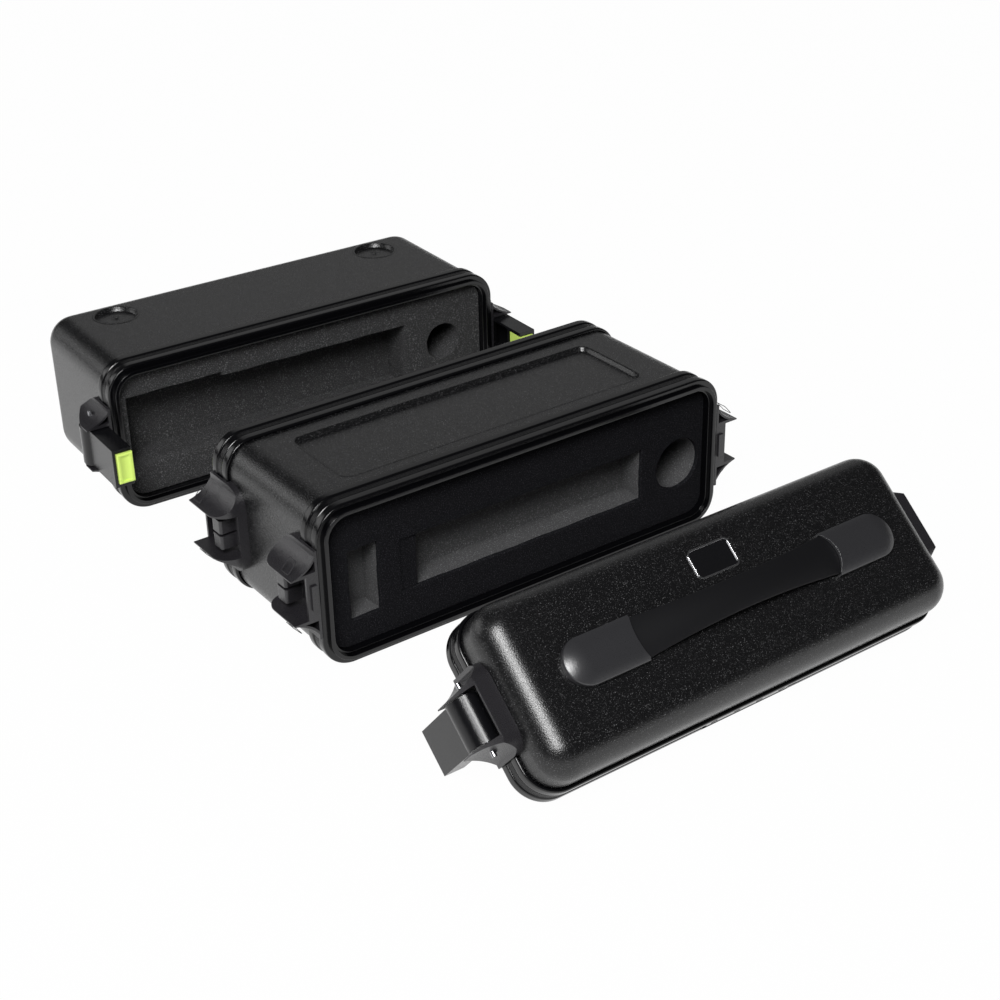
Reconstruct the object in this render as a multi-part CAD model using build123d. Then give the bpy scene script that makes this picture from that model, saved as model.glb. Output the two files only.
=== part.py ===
from build123d import *
import math
import os

os.makedirs("parts", exist_ok=True)

# A rack-style travel case for a wireless microphone set, shown taken apart:
# a deep rear section, an open-ended middle section and a shallow lid.
# Every section is drawn in one section frame: its mating plane is y = 0,
# the section runs towards +Y, x is centred and z = 0 is its resting side.

# Closed outline of the case
case_length = 340
case_height = 120
corner_radius = 23

# Depth of each section
rear_depth = 135
middle_depth = 139.5
lid_depth = 52.5

# Moulded shells
shell_setback = 2.5
shell_wall = 3.2
shell_seat = 8.3
rear_edge_radius = 17
lid_edge_radius = 19

# Extruded valance bent around each open edge
valance_depth = 21
valance_inner_inset = 9
valance_edge_round = 1
seat_clearance = 0.05
knurl_band_start = 7
knurl_band_end = 14
knurl_band_depth = 0.9

# Tongue, groove and gasket of each mating edge
tongue_inset = 4.2
tongue_thickness = 3
tongue_height = 3.2
tongue_root = 0.5
groove_side_clearance = 0.4
groove_depth = 5
gasket_height = 1.6
gasket_side_clearance = 0.1

# Splice plate where the ends of a valance meet
splice_length = 72
splice_width = 14
splice_slant = 4
splice_thickness = 1
splice_recess = 1.4
splice_centre = 10.5
splice_clearance = 0.15
splice_rivet_pitch = 19
splice_rivet_count = 4
rivet_shank_radius = 1.2
rivet_head_radius = 2.4
rivet_head_height = 0.3
rivet_hole_clearance = 0.05
rivet_tip_clearance = 0.1

# Recessed panel in the top of the middle section
panel_length = 254
panel_width = 71
panel_start = 33
panel_recess = 3.5
panel_corner_radius = 8
panel_wall_angle = 35

# Stacking cups in the top of the rear section, feet below them
cup_offset = 118
cup_depth_position = 101
cup_radius = 17
cup_depth = 4
cup_disc_radius = 9
cup_disc_height = 1.2
cup_dot_radius = 1.6
cup_dot_height = 0.8
foot_radius = 15
foot_edge_chamfer = 0.6
foot_screw_head_radius = 4
foot_screw_head_height = 1.1
foot_screw_head_recess = 0.3
foot_screw_shank_radius = 1.5
foot_screw_clearance = 0.2

# Foam inserts
foam_shell_clearance = 0.3
foam_face_inset = 9.4
foam_face_recess = 5.5
facing_thickness = 3

# Pockets cut in the middle section's foam
long_slot_left = -91.5
long_slot_right = 103
long_slot_bottom = 35.5
long_slot_top = 76
long_slot_depth = 22
long_slot_step = 13.5
long_slot_step_depth = 1.5
pack_slot_left = -145
pack_slot_right = -121.5
pack_slot_bottom = 28
pack_slot_top = 81
pack_slot_depth = 20
handheld_hole_x = 137
handheld_hole_z = 54
handheld_hole_radius = 20
handheld_hole_depth = 70

# Pockets cut in the rear section's foam
bay_left = -155
bay_right = 89
bay_bottom = 34
bay_top_left = 92
bay_top_right = 89
bay_step = -75
bay_depth = 30
spare_hole_x = 124.5
spare_hole_z = 66
spare_hole_radius = 15.5
spare_hole_depth = 60

# Latch and keeper mouldings, "out" is the distance from the valance's face
base_near = 0.5
base_thickness = 2
base_step = 21.4
cheek_out = 20
cheek_inner_half_gap = 16.2
cheek_tip_half_height = 17
cheek_foot_inset = 0.4
cheek_wall = 2.2
cheek_pocket_depth = 8

# Outline, cheeks and far wall of a latch moulding
latch_far = 37
latch_half_height = 29.5
latch_corner_radius = 13
latch_end_round = 12
latch_cheek_bow = 1.9
latch_flat_length = 12
latch_slope_middle = 25
latch_slope_middle_out = 15.6
latch_wall = 2
latch_wall_out = 9

# Outline, cheeks, walls, hook prongs and locating lug of a keeper
keeper_far = 41
keeper_half_height = 33
keeper_corner_radius = 15
keeper_end_round = 14
keeper_cheek_bow = 3
keeper_wall = 2.5
keeper_wall_out = 4.4
prong_near = 20
prong_far = 32
prong_out = 14
prong_height = 10
prong_gap = 2
prong_round = 2
keeper_web = 2
keeper_web_out = 9
keeper_lug_length = 1.5
keeper_lug_half_height = 9
keeper_lug_inner_out = 1.8
keeper_lug_outer_out = 6.2

# Latch lever, its pivot pin and its release trigger
pin_distance = 18
pin_out = 9.5
pin_radius = 1.75
pin_half_length = 24.2
pin_bore_clearance = 0.05
pin_seat_clearance = 0.03
pin_counterbore_radius = 2.9
pin_counterbore_start = 23.7
pivot_pocket_depth = 1
pivot_pocket_clearance = 2
lever_half_width = 15.25
lever_barrel_radius = 7.5
lever_shoulder = 5.4
lever_reach = 38
lever_out = 17
lever_under = 2.3
lever_outer_wall = 2.2
lever_side_wall = 2.25
lever_tip_round = 0.5
lever_crown_out = 16.9
lever_crown_distance = 5
trigger_half_height = 12
trigger_length = 16.8
trigger_proud = 2.5
trigger_clearance = 0.25
trigger_under = 2.1
trigger_dish_radius = 9
trigger_dish_depth = 1
trigger_dish_margin = 2
trigger_edge_round = 1
trigger_web = 1.5

# Rivets that hold latches and keepers to the shell
base_rivet_shank_radius = 1.5
base_rivet_head_radius = 2.2
base_rivet_head_height = 0.8
latch_rivet_distance = 29.6
latch_rivet_half_pitch = 9
keeper_rivet_distance = 34.2
keeper_rivet_half_pitch = 13.4

# Strap handle and badge on the lid's face
furniture_offset = -1.5
strap_span = 158
strap_end_half_width = 13.8
strap_middle_half_width = 10.5
strap_thickness = 4
strap_edge_thickness = 1.8
strap_floor = 1.1
strap_bow = 5.9
strap_gap = 0.4
tail_length = 42
tail_end_radius = 11.8
tail_end_clearance = 2
cap_length = 55
cap_half_width = 15.5
cap_height = 8
cap_rim_height = 3.6
cap_mouth_radius = 24
cap_mouth_depth = 4
cap_edge_round = 1.5
cap_slot_clearance = 0.3
badge_length = 34
badge_width = 20.5
badge_corner_radius = 4
badge_recess = 1.4
badge_rise = 87.5
badge_rim_width = 1.2
badge_rim_proud = 0.4
badge_plate_thickness = 1
badge_clearance = 0.1

# How the three sections stand on the floor
rear_x = -11.1
rear_y = 273.1
rear_turn = -2.1
lid_x = 16.4
lid_y = -196.8
lid_lean = math.degrees(math.atan((case_height / 2 - lever_half_width) / lever_reach))

wall_x = case_length / 2
middle_z = case_height / 2


def loop_block(inset, start, end):
    """Block with the case's rounded outline drawn in by inset, between two depths."""
    plane = Plane(origin=(0, start, middle_z), x_dir=(1, 0, 0), z_dir=(0, 1, 0))
    length = case_length - 2 * inset
    height = case_height - 2 * inset
    outline = plane * RectangleRounded(length, height, corner_radius - inset)
    return extrude(outline, end - start)


def loop_ring(outer_inset, inner_inset, start, end):
    """Closed ring between two insets of the case's outline."""
    return loop_block(outer_inset, start, end) - loop_block(inner_inset, start - 1, end + 1)


def cuboid(x0, x1, y0, y1, z0, z1):
    """Block between two opposite corners."""
    block = Box(x1 - x0, y1 - y0, z1 - z0, align=(Align.MIN, Align.MIN, Align.MIN))
    return Pos(x0, y0, z0) * block


def post(x, z, radius, start, end):
    """Cylinder along Y between two depths."""
    plane = Plane(origin=(x, start, z), x_dir=(1, 0, 0), z_dir=(0, 1, 0))
    return extrude(plane * Circle(radius), end - start)


def upright(x, y, radius, low, high):
    """Cylinder along Z between two heights."""
    return Pos(x, y, low) * Cylinder(radius, high - low, align=(Align.CENTER, Align.CENTER, Align.MIN))


def outward(y, z, radius, start, end):
    """Cylinder along X between two distances out from the end face of the valance."""
    plane = Plane(origin=(wall_x + start, y, z), x_dir=(0, 1, 0), z_dir=(1, 0, 0))
    return extrude(plane * Circle(radius), end - start)


def other_end(shape):
    """Same piece at the opposite end of a section."""
    return Pos(0, 0, middle_z) * Rot(0, 180, 0) * Pos(0, 0, -middle_z) * shape


# Shells

def closed_shell(depth, edge_radius):
    """Deep-drawn box, open at the mating side, with rounded far edges."""
    outer = loop_block(shell_setback, shell_seat, depth)
    outer = fillet(outer.faces().sort_by(Axis.Y)[-1].edges(), edge_radius)
    inner_inset = shell_setback + shell_wall
    inner = loop_block(inner_inset, shell_seat - 1, depth - shell_wall)
    inner = fillet(inner.faces().sort_by(Axis.Y)[-1].edges(), edge_radius - shell_wall)
    return outer - inner


def splice_rivet_places():
    """Positions along the splice plate of its rivets."""
    first = -splice_rivet_pitch * (splice_rivet_count - 1) / 2
    return [first + splice_rivet_pitch * i for i in range(splice_rivet_count)]


def valance():
    """Bent extrusion with a seat for the shell's edge and a knurled band around it."""
    ring = loop_ring(0, valance_inner_inset, 0, valance_depth)
    outer_edges = ring.faces().sort_by(Axis.Y)[0].outer_wire().edges()
    outer_edges += ring.faces().sort_by(Axis.Y)[-1].outer_wire().edges()
    ring = fillet(outer_edges, valance_edge_round)
    seat_inner = shell_setback + shell_wall + seat_clearance
    seat_outer = shell_setback - seat_clearance
    seat_start = shell_seat - seat_clearance
    ring -= loop_ring(seat_outer, seat_inner, seat_start, valance_depth + 1)
    ring -= loop_ring(-1, knurl_band_depth, knurl_band_start, knurl_band_end)
    half_length = splice_length / 2 + splice_clearance
    half_width = splice_width / 2 + splice_clearance
    near = splice_centre - half_width
    far = splice_centre + half_width
    ring -= cuboid(-half_length, half_length, near, far, -1, splice_recess)
    for x in splice_rivet_places():
        hole_radius = rivet_shank_radius + rivet_hole_clearance
        ring -= upright(x, splice_centre, hole_radius, -1, shell_setback)
    return ring


def tongued_valance():
    """Valance with a tongue that enters the neighbour's groove."""
    tongue = loop_ring(tongue_inset, tongue_inset + tongue_thickness, -tongue_height, tongue_root)
    return valance() + tongue


def grooved_valance():
    """Valance with the groove that takes the tongue and the gasket."""
    outer_inset = tongue_inset - groove_side_clearance
    inner_inset = tongue_inset + tongue_thickness + groove_side_clearance
    return valance() - loop_ring(outer_inset, inner_inset, -1, groove_depth)


def gasket():
    """Soft ring at the bottom of the groove."""
    outer_inset = tongue_inset - groove_side_clearance + gasket_side_clearance
    inner_inset = tongue_inset + tongue_thickness + groove_side_clearance - gasket_side_clearance
    return loop_ring(outer_inset, inner_inset, groove_depth - gasket_height, groove_depth)


def splice_plate():
    """Thin plate with slanted ends, set in the valance's resting side."""
    half_length = splice_length / 2
    half_width = splice_width / 2
    corners = [
        (-half_length, -half_width),
        (half_length - splice_slant, -half_width),
        (half_length, half_width),
        (-half_length + splice_slant, half_width),
    ]
    top = splice_recess
    plane = Plane(origin=(0, splice_centre, top - splice_thickness))
    plate = extrude(plane * make_face(Polyline(*corners, close=True)), splice_thickness)
    for x in splice_rivet_places():
        plate -= upright(x, splice_centre, rivet_shank_radius + rivet_hole_clearance, -1, top + 1)
    return plate


def splice_rivets():
    """Row of rivets through the splice plate and the valance's outer flange."""
    face = splice_recess - splice_thickness
    rivets = []
    for x in splice_rivet_places():
        head = upright(x, splice_centre, rivet_head_radius, face - rivet_head_height, face)
        shank = upright(x, splice_centre, rivet_shank_radius, face, shell_setback - rivet_tip_clearance)
        rivets.append(head + shank)
    return rivets


# Latch and keeper mouldings, drawn at the +X end

def moulding_outline(far, half_height, corner_radius):
    """Outline of a latch or keeper on the end face of the valance."""
    plane = Plane(origin=(wall_x, 0, middle_z), x_dir=(0, 1, 0), z_dir=(1, 0, 0))
    length = far - base_near
    outline = Pos(base_near + length / 2, 0) * Rectangle(length, 2 * half_height)
    return plane * fillet(outline.vertices().sort_by(Axis.X)[-2:], corner_radius)


def base_plate(outline):
    """Flat foot with that outline, stepped down from the valance onto the shell."""
    plate = extrude(outline, base_thickness)
    foot = extrude(outline, -shell_setback)
    stepped = cuboid(wall_x - 10, wall_x + 10, base_step, case_length, 0, case_height)
    return plate + (foot & stepped)


def domed_block(outline, end_round):
    """Block as high as the cheeks, rounded down to the outline except at its near side."""
    block = extrude(outline, cheek_out)
    top_edges = block.faces().sort_by(Axis.X)[-1].edges()
    return fillet(top_edges.sort_by(Axis.Y)[1:], end_round)


def cheek_section(inset, foot_half_height, bow):
    """Cross-section of the upper cheek, drawn in from its curved side by inset."""
    foot = (0, foot_half_height - inset)
    tip = (cheek_out - inset, cheek_tip_half_height)
    curve = SagittaArc(foot, tip, -bow)
    inner_tip = (cheek_out - inset, cheek_inner_half_gap)
    inner_foot = (0, cheek_inner_half_gap)
    sides = Polyline(tip, inner_tip, inner_foot, foot)
    return make_face(curve + sides)


def cheeks(foot_half_height, bow, length):
    """Pair of curved cheeks, each hollowed at its near end."""
    section_plane = Plane(origin=(wall_x, base_near, middle_z), x_dir=(1, 0, 0), z_dir=(0, -1, 0))
    upper = extrude(section_plane * cheek_section(0, foot_half_height, bow), -length)
    hollow = section_plane * cheek_section(cheek_wall, foot_half_height, bow)
    floor = middle_z + cheek_inner_half_gap + cheek_wall
    room = cuboid(wall_x + base_thickness, wall_x + cheek_out, 0, case_length, floor, case_height)
    upper -= extrude(hollow, -cheek_pocket_depth) & room
    return upper + mirror(upper, Plane.XY.offset(middle_z))


def cross_wall(near, far, out):
    """Low wall that joins the two cheeks."""
    low = middle_z - cheek_inner_half_gap - 1
    high = middle_z + cheek_inner_half_gap + 1
    return cuboid(wall_x, wall_x + out, near, far, low, high)


def latch_side_view():
    """Side view of a latch moulding: high beside the lever, falling away to the far wall."""
    low = Polyline((latch_far, latch_wall_out), (latch_far, 0), (base_near, 0), (base_near, cheek_out))
    high = Line((base_near, cheek_out), (latch_flat_length, cheek_out))
    middle = (latch_slope_middle, latch_slope_middle_out)
    slope = ThreePointArc((latch_flat_length, cheek_out), middle, (latch_far, latch_wall_out))
    plane = Plane(origin=(wall_x, 0, case_height), x_dir=(0, 1, 0), z_dir=(0, 0, -1))
    return extrude(plane * make_face(low + high + slope), case_height)


def latch_base():
    """Latch moulding with bores for the lever's pin."""
    outline = moulding_outline(latch_far, latch_half_height, latch_corner_radius)
    raised = cheeks(latch_half_height - cheek_foot_inset, latch_cheek_bow, latch_far - base_near)
    raised += cross_wall(latch_far - latch_wall, latch_far, latch_wall_out)
    raised &= domed_block(outline, latch_end_round) & latch_side_view()
    base = base_plate(outline) + raised
    pivot = Pos(wall_x + pin_out, pin_distance, middle_z)
    bore = Cylinder(pin_radius + pin_seat_clearance, 3 * pin_half_length)
    base -= pivot * bore
    for side in (-1, 1):
        depth = case_height / 2
        centre = side * (pin_counterbore_start + depth / 2)
        base -= pivot * Pos(0, 0, centre) * Cylinder(pin_counterbore_radius, depth)
    room = lever_barrel_radius + pivot_pocket_clearance
    near = pin_distance - room
    far = pin_distance + room
    low = middle_z - cheek_inner_half_gap
    high = middle_z + cheek_inner_half_gap
    top = wall_x + base_thickness
    base -= cuboid(top - pivot_pocket_depth, top, near, far, low, high)
    for z in rivet_heights(latch_rivet_half_pitch):
        base -= outward(latch_rivet_distance, z, base_rivet_shank_radius + rivet_hole_clearance, -4, 4)
    return base


def rivet_heights(half_pitch):
    """Heights of the two rivets of a latch or keeper."""
    return [middle_z - half_pitch, middle_z + half_pitch]


def base_rivets(distance, half_pitch):
    """Rivets through a moulding's foot and the shell's end wall."""
    rivets = []
    for z in rivet_heights(half_pitch):
        top = base_thickness + base_rivet_head_height
        head = outward(distance, z, base_rivet_head_radius, base_thickness, top)
        inner = -shell_setback - shell_wall
        shank = outward(distance, z, base_rivet_shank_radius, inner, base_thickness)
        rivets.append(head + shank)
    return rivets


def drilled_for_rivets(shell, distance, half_pitch):
    """Shell with the rivet holes of both ends."""
    for z in rivet_heights(half_pitch):
        hole = outward(distance, z, base_rivet_shank_radius + rivet_hole_clearance, -10, 10)
        shell -= hole
        shell -= other_end(hole)
    return shell


def keeper():
    """Keeper moulding with two hook prongs between its cheeks and a lug on its near wall."""
    outline = moulding_outline(keeper_far, keeper_half_height, keeper_corner_radius)
    raised = cheeks(keeper_half_height - cheek_foot_inset, keeper_cheek_bow, keeper_far - base_near)
    raised += cross_wall(keeper_far - keeper_wall, keeper_far, keeper_wall_out)
    raised += cross_wall(base_near, base_near + keeper_web, keeper_web_out)
    base = base_plate(outline) + (raised & domed_block(outline, keeper_end_round))
    for side in (-1, 1):
        centre = middle_z + side * (prong_gap + prong_height) / 2
        low = centre - prong_height / 2
        high = centre + prong_height / 2
        prong = cuboid(wall_x + 1, wall_x + prong_out, prong_near, prong_far, low, high)
        prong = fillet(prong.faces().sort_by(Axis.X)[-1].edges().filter_by(Axis.Z), prong_round)
        base += prong
    low = middle_z - keeper_lug_half_height
    high = middle_z + keeper_lug_half_height
    inner = wall_x + keeper_lug_inner_out
    outer = wall_x + keeper_lug_outer_out
    base += cuboid(inner, outer, base_near - keeper_lug_length, base_near, low, high)
    for z in rivet_heights(keeper_rivet_half_pitch):
        base -= outward(keeper_rivet_distance, z, base_rivet_shank_radius + rivet_hole_clearance, -4, 4)
    return base


def pivot_pin():
    """Steel pin through both cheeks."""
    return Pos(wall_x + pin_out, pin_distance, middle_z) * Cylinder(pin_radius, 2 * pin_half_length)


def lever():
    """Draw lever: channel section around the pin, boxed at its tip for the trigger."""
    plane = Plane(origin=(wall_x, 0, middle_z), x_dir=(1, 0, 0), z_dir=(0, 0, 1))
    half = lever_half_width
    near_top = (lever_out, -lever_reach)
    near_under = (lever_under, -lever_reach)
    under = (lever_under, pin_distance)
    back = (pin_out, pin_distance + lever_barrel_radius)
    crown = (lever_crown_out, lever_crown_distance)
    shoulder = (pin_out + lever_shoulder, pin_distance + lever_shoulder)
    straight = Polyline(crown, near_top, near_under, under, back)
    curve = ThreePointArc(back, shoulder, crown)
    profile = make_face(straight + curve) + Pos(pin_out, pin_distance) * Circle(lever_barrel_radius)
    body = extrude(plane * profile, half, both=True)
    tip_edges = body.edges().filter_by(Axis.Z).group_by(Axis.Y)[0]
    body = fillet(tip_edges, lever_tip_round)
    channel_near = trigger_back() + trigger_web
    inner_half = half - lever_side_wall
    low = middle_z - inner_half
    high = middle_z + inner_half
    roof = wall_x + lever_out - lever_outer_wall
    channel = cuboid(wall_x, roof, channel_near, pin_distance, low, high)
    barrel = Pos(wall_x + pin_out, pin_distance, middle_z) * Cylinder(lever_barrel_radius, 2 * half)
    body -= channel - barrel
    pocket_half = trigger_half_height + trigger_clearance
    low = middle_z - pocket_half
    high = middle_z + pocket_half
    body -= cuboid(wall_x, roof, -lever_reach - 1, trigger_back(), low, high)
    bore = Cylinder(pin_radius + pin_bore_clearance, 3 * half)
    return body - Pos(wall_x + pin_out, pin_distance, middle_z) * bore


def trigger_back():
    """Depth of the trigger pocket's end, leaving room for the trigger's stroke."""
    return -lever_reach - trigger_proud + trigger_length + trigger_proud + trigger_clearance


def trigger():
    """Release trigger with a dished thumb face."""
    low = middle_z - trigger_half_height
    high = middle_z + trigger_half_height
    near = -lever_reach - trigger_proud
    outer = wall_x + lever_out - lever_outer_wall - trigger_clearance
    inner = wall_x + trigger_under
    block = cuboid(inner, outer, near, near + trigger_length, low, high)
    front_edges = block.faces().sort_by(Axis.Y)[0].edges()
    block = fillet(front_edges, trigger_edge_round)
    middle = (inner + outer) / 2
    dish = Pos(middle, near - trigger_dish_radius + trigger_dish_depth, middle_z)
    dish_half_height = trigger_half_height - trigger_dish_margin
    return block - dish * Cylinder(trigger_dish_radius, 2 * dish_half_height)


# Foam inserts

def foam_block(depth, edge_radius):
    """Foam that fills a closed shell, narrower where it passes through the valance."""
    inner_inset = shell_setback + shell_wall + foam_shell_clearance
    behind = valance_depth + foam_shell_clearance
    back = depth - shell_wall - foam_shell_clearance
    body = loop_block(inner_inset, behind, back)
    radius = edge_radius - shell_wall - foam_shell_clearance
    body = fillet(body.faces().sort_by(Axis.Y)[-1].edges(), radius)
    return body + loop_block(foam_face_inset, foam_face_recess, behind + 1)


def middle_foam_block():
    """Foam that fills the open-ended section from edge to edge."""
    inner_inset = shell_setback + shell_wall + foam_shell_clearance
    near = valance_depth + foam_shell_clearance
    body = loop_block(inner_inset, near, middle_depth - near)
    face = foam_face_recess + facing_thickness
    body += loop_block(foam_face_inset, face, middle_depth - foam_face_recess)
    low = case_height - inner_inset - panel_recess
    half_length = panel_length / 2 + shell_wall
    near = panel_start - shell_wall
    far = panel_start + panel_width + shell_wall
    return body - cuboid(-half_length, half_length, near, far, low, case_height)


def middle_pockets(face):
    """Rectangular and round pockets of the middle section."""
    start = face - 1
    deep = foam_face_recess + long_slot_depth
    pockets = cuboid(long_slot_left, long_slot_right, start, deep, long_slot_bottom, long_slot_top)
    deep = foam_face_recess + pack_slot_depth
    pockets += cuboid(pack_slot_left, pack_slot_right, start, deep, pack_slot_bottom, pack_slot_top)
    deep = foam_face_recess + handheld_hole_depth
    pockets += post(handheld_hole_x, handheld_hole_z, handheld_hole_radius, start, deep)
    return pockets


# Middle section

middle_shell = loop_block(shell_setback, shell_seat, middle_depth - shell_seat)
panel_centre = panel_start + panel_width / 2
panel_top = case_height - shell_setback
panel_plane = Plane(origin=(0, panel_centre, panel_top), x_dir=(1, 0, 0), z_dir=(0, 0, -1))
lining_plane = Plane(origin=(0, panel_centre, panel_top - shell_wall), x_dir=(1, 0, 0), z_dir=(0, 0, -1))
panel_outline = RectangleRounded(panel_length, panel_width, panel_corner_radius)
lining_length = panel_length + shell_wall
lining_width = panel_width + shell_wall
lining_outline = RectangleRounded(lining_length, lining_width, panel_corner_radius + shell_wall / 2)
middle_shell -= loop_block(shell_setback + shell_wall, 0, middle_depth)
middle_shell += extrude(lining_plane * lining_outline, panel_recess, taper=panel_wall_angle)
middle_shell -= extrude(panel_plane * panel_outline, panel_recess, taper=panel_wall_angle)
middle_shell = drilled_for_rivets(middle_shell, keeper_rivet_distance, keeper_rivet_half_pitch)
far_rivets = middle_depth - keeper_rivet_distance
middle_shell = drilled_for_rivets(middle_shell, far_rivets, keeper_rivet_half_pitch)

middle_foam = middle_foam_block() - middle_pockets(foam_face_recess)
facing_end = foam_face_recess + facing_thickness
middle_foam_facing = loop_block(foam_face_inset, foam_face_recess, facing_end)
middle_foam_facing -= middle_pockets(foam_face_recess)
step_left = long_slot_left - long_slot_step
step_end = foam_face_recess + long_slot_step_depth
middle_foam_facing -= cuboid(step_left, long_slot_left, 0, step_end, long_slot_bottom, long_slot_top)

# Rear section

rear_shell = closed_shell(rear_depth, rear_edge_radius)
rear_foam = foam_block(rear_depth, rear_edge_radius)
cup_top = case_height - shell_setback
cup_floor = cup_top - cup_depth
for x in (-cup_offset, cup_offset):
    lining_low = cup_floor - shell_wall
    rear_shell += upright(x, cup_depth_position, cup_radius + shell_wall, lining_low, cup_top - 1)
    cup = upright(x, cup_depth_position, cup_radius, cup_floor, case_height)
    disc_top = cup_floor + cup_disc_height
    cup -= upright(x, cup_depth_position, cup_disc_radius, cup_floor, disc_top)
    cup -= upright(x, cup_depth_position, cup_dot_radius, disc_top, disc_top + cup_dot_height)
    rear_shell -= cup
    rear_shell -= upright(x, cup_depth_position, foot_screw_shank_radius + rivet_hole_clearance, 0, 8)
    foam_room = cup_radius + shell_wall + foam_shell_clearance
    low = lining_low - foam_shell_clearance
    rear_foam -= upright(x, cup_depth_position, foam_room, low, case_height)
rear_shell = drilled_for_rivets(rear_shell, latch_rivet_distance, latch_rivet_half_pitch)

bay_start = foam_face_recess - 1
bay_end = foam_face_recess + bay_depth
rear_foam -= cuboid(bay_left, bay_step, bay_start, bay_end, bay_bottom, bay_top_left)
rear_foam -= cuboid(bay_step - 1, bay_right, bay_start, bay_end, bay_bottom, bay_top_right)
spare_end = foam_face_recess + spare_hole_depth
rear_foam -= post(spare_hole_x, spare_hole_z, spare_hole_radius, bay_start, spare_end)


def foot(x):
    """Round rubber foot under the rear section."""
    disc = upright(x, cup_depth_position, foot_radius, 0, shell_setback)
    disc = chamfer(disc.faces().sort_by(Axis.Z)[0].edges(), foot_edge_chamfer)
    head_top = foot_screw_head_recess + foot_screw_head_height
    counterbore = foot_screw_head_radius + foot_screw_clearance
    disc -= upright(x, cup_depth_position, counterbore, -1, head_top)
    return disc - upright(x, cup_depth_position, foot_screw_shank_radius + rivet_hole_clearance, -1, 9)


def foot_screw(x):
    """Screw up through a foot and the shell's lower wall."""
    head_top = foot_screw_head_recess + foot_screw_head_height
    head = upright(x, cup_depth_position, foot_screw_head_radius, foot_screw_head_recess, head_top)
    end = shell_setback + shell_wall
    return head + upright(x, cup_depth_position, foot_screw_shank_radius, head_top, end)


# Lid

lid_shell = closed_shell(lid_depth, lid_edge_radius)
lid_shell = drilled_for_rivets(lid_shell, latch_rivet_distance, latch_rivet_half_pitch)
lid_foam = foam_block(lid_depth, lid_edge_radius)
badge_plane = Plane(origin=(furniture_offset, lid_depth, badge_rise), x_dir=(1, 0, 0), z_dir=(0, 1, 0))
badge_outline = RectangleRounded(badge_length, badge_width, badge_corner_radius)
rim_length = badge_length - 2 * badge_clearance
rim_width = badge_width - 2 * badge_clearance
rim_outline = RectangleRounded(rim_length, rim_width, badge_corner_radius - badge_clearance)
plate_length = rim_length - 2 * badge_rim_width
plate_width = rim_width - 2 * badge_rim_width
plate_radius = badge_corner_radius - badge_clearance - badge_rim_width
plate_outline = RectangleRounded(plate_length, plate_width, plate_radius)
lid_shell -= extrude(badge_plane * badge_outline, -badge_recess)
badge_rim = extrude(badge_plane * rim_outline, -badge_recess)
badge_rim += extrude(badge_plane * rim_outline, badge_rim_proud)
badge_rim -= extrude(badge_plane * plate_outline, badge_rim_proud + 1)
badge_rim -= extrude(badge_plane * plate_outline, -badge_recess - 1)
plate_floor = badge_plane.offset(-badge_recess)
badge_plate = extrude(plate_floor * plate_outline, badge_plate_thickness)


def strap_section(clearance):
    """Cross-section of the strap, flat below and crowned above, grown by clearance."""
    half = strap_end_half_width + clearance
    low = strap_floor - clearance
    edge = strap_floor + strap_edge_thickness + clearance
    crown = strap_floor + strap_thickness + clearance
    top = ThreePointArc((-half, edge), (0, crown), (half, edge))
    rest = Polyline((half, edge), (half, low), (-half, low), (-half, edge))
    return make_face(top + rest)


def strap_plane(x):
    """Plane across the strap at x, with its own y out from the lid's face."""
    return Plane(origin=(x, lid_depth, middle_z), x_dir=(0, 0, -1), z_dir=(1, 0, 0))


def strap_grip():
    """Grip between the caps, bowed away from the lid and narrower in its middle."""
    half = strap_span / 2 - strap_gap
    bow_radius = (half**2 + strap_bow**2) / (2 * strap_bow)
    axis_out = lid_depth + strap_floor + strap_bow - bow_radius
    bend = 2 * math.degrees(math.asin(strap_span / 2 / bow_radius))
    axis = Axis((0, axis_out, 0), (0, 0, 1))
    section = Pos(0, strap_bow, 0) * strap_plane(0) * strap_section(0)
    band = revolve(section, axis, bend / 2) + revolve(section, axis, -bend / 2)
    width = strap_end_half_width
    waist = strap_middle_half_width
    top = ThreePointArc((-half, width), (0, waist), (half, width))
    bottom = ThreePointArc((-half, -width), (0, -waist), (half, -width))
    sides = Line((-half, -width), (-half, width)) + Line((half, -width), (half, width))
    plane = Plane(origin=(0, lid_depth, middle_z), x_dir=(1, 0, 0), z_dir=(0, 1, 0))
    front_view = extrude(plane * make_face(top + bottom + sides), 30)
    return Pos(furniture_offset, 0, 0) * (band & front_view)


def strap_end(clearance, length):
    """Crowned end of the strap with a rounded outline, grown by clearance."""
    near = strap_span / 2
    half = strap_end_half_width + clearance
    body = extrude(strap_plane(near) * strap_section(clearance), length)
    room = cuboid(near, near + length, lid_depth, lid_depth + 30, middle_z - half, middle_z + half)
    corners = room.edges().filter_by(Axis.Y).group_by(Axis.X)[-1]
    return body & fillet(corners, tail_end_radius + clearance)


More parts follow.
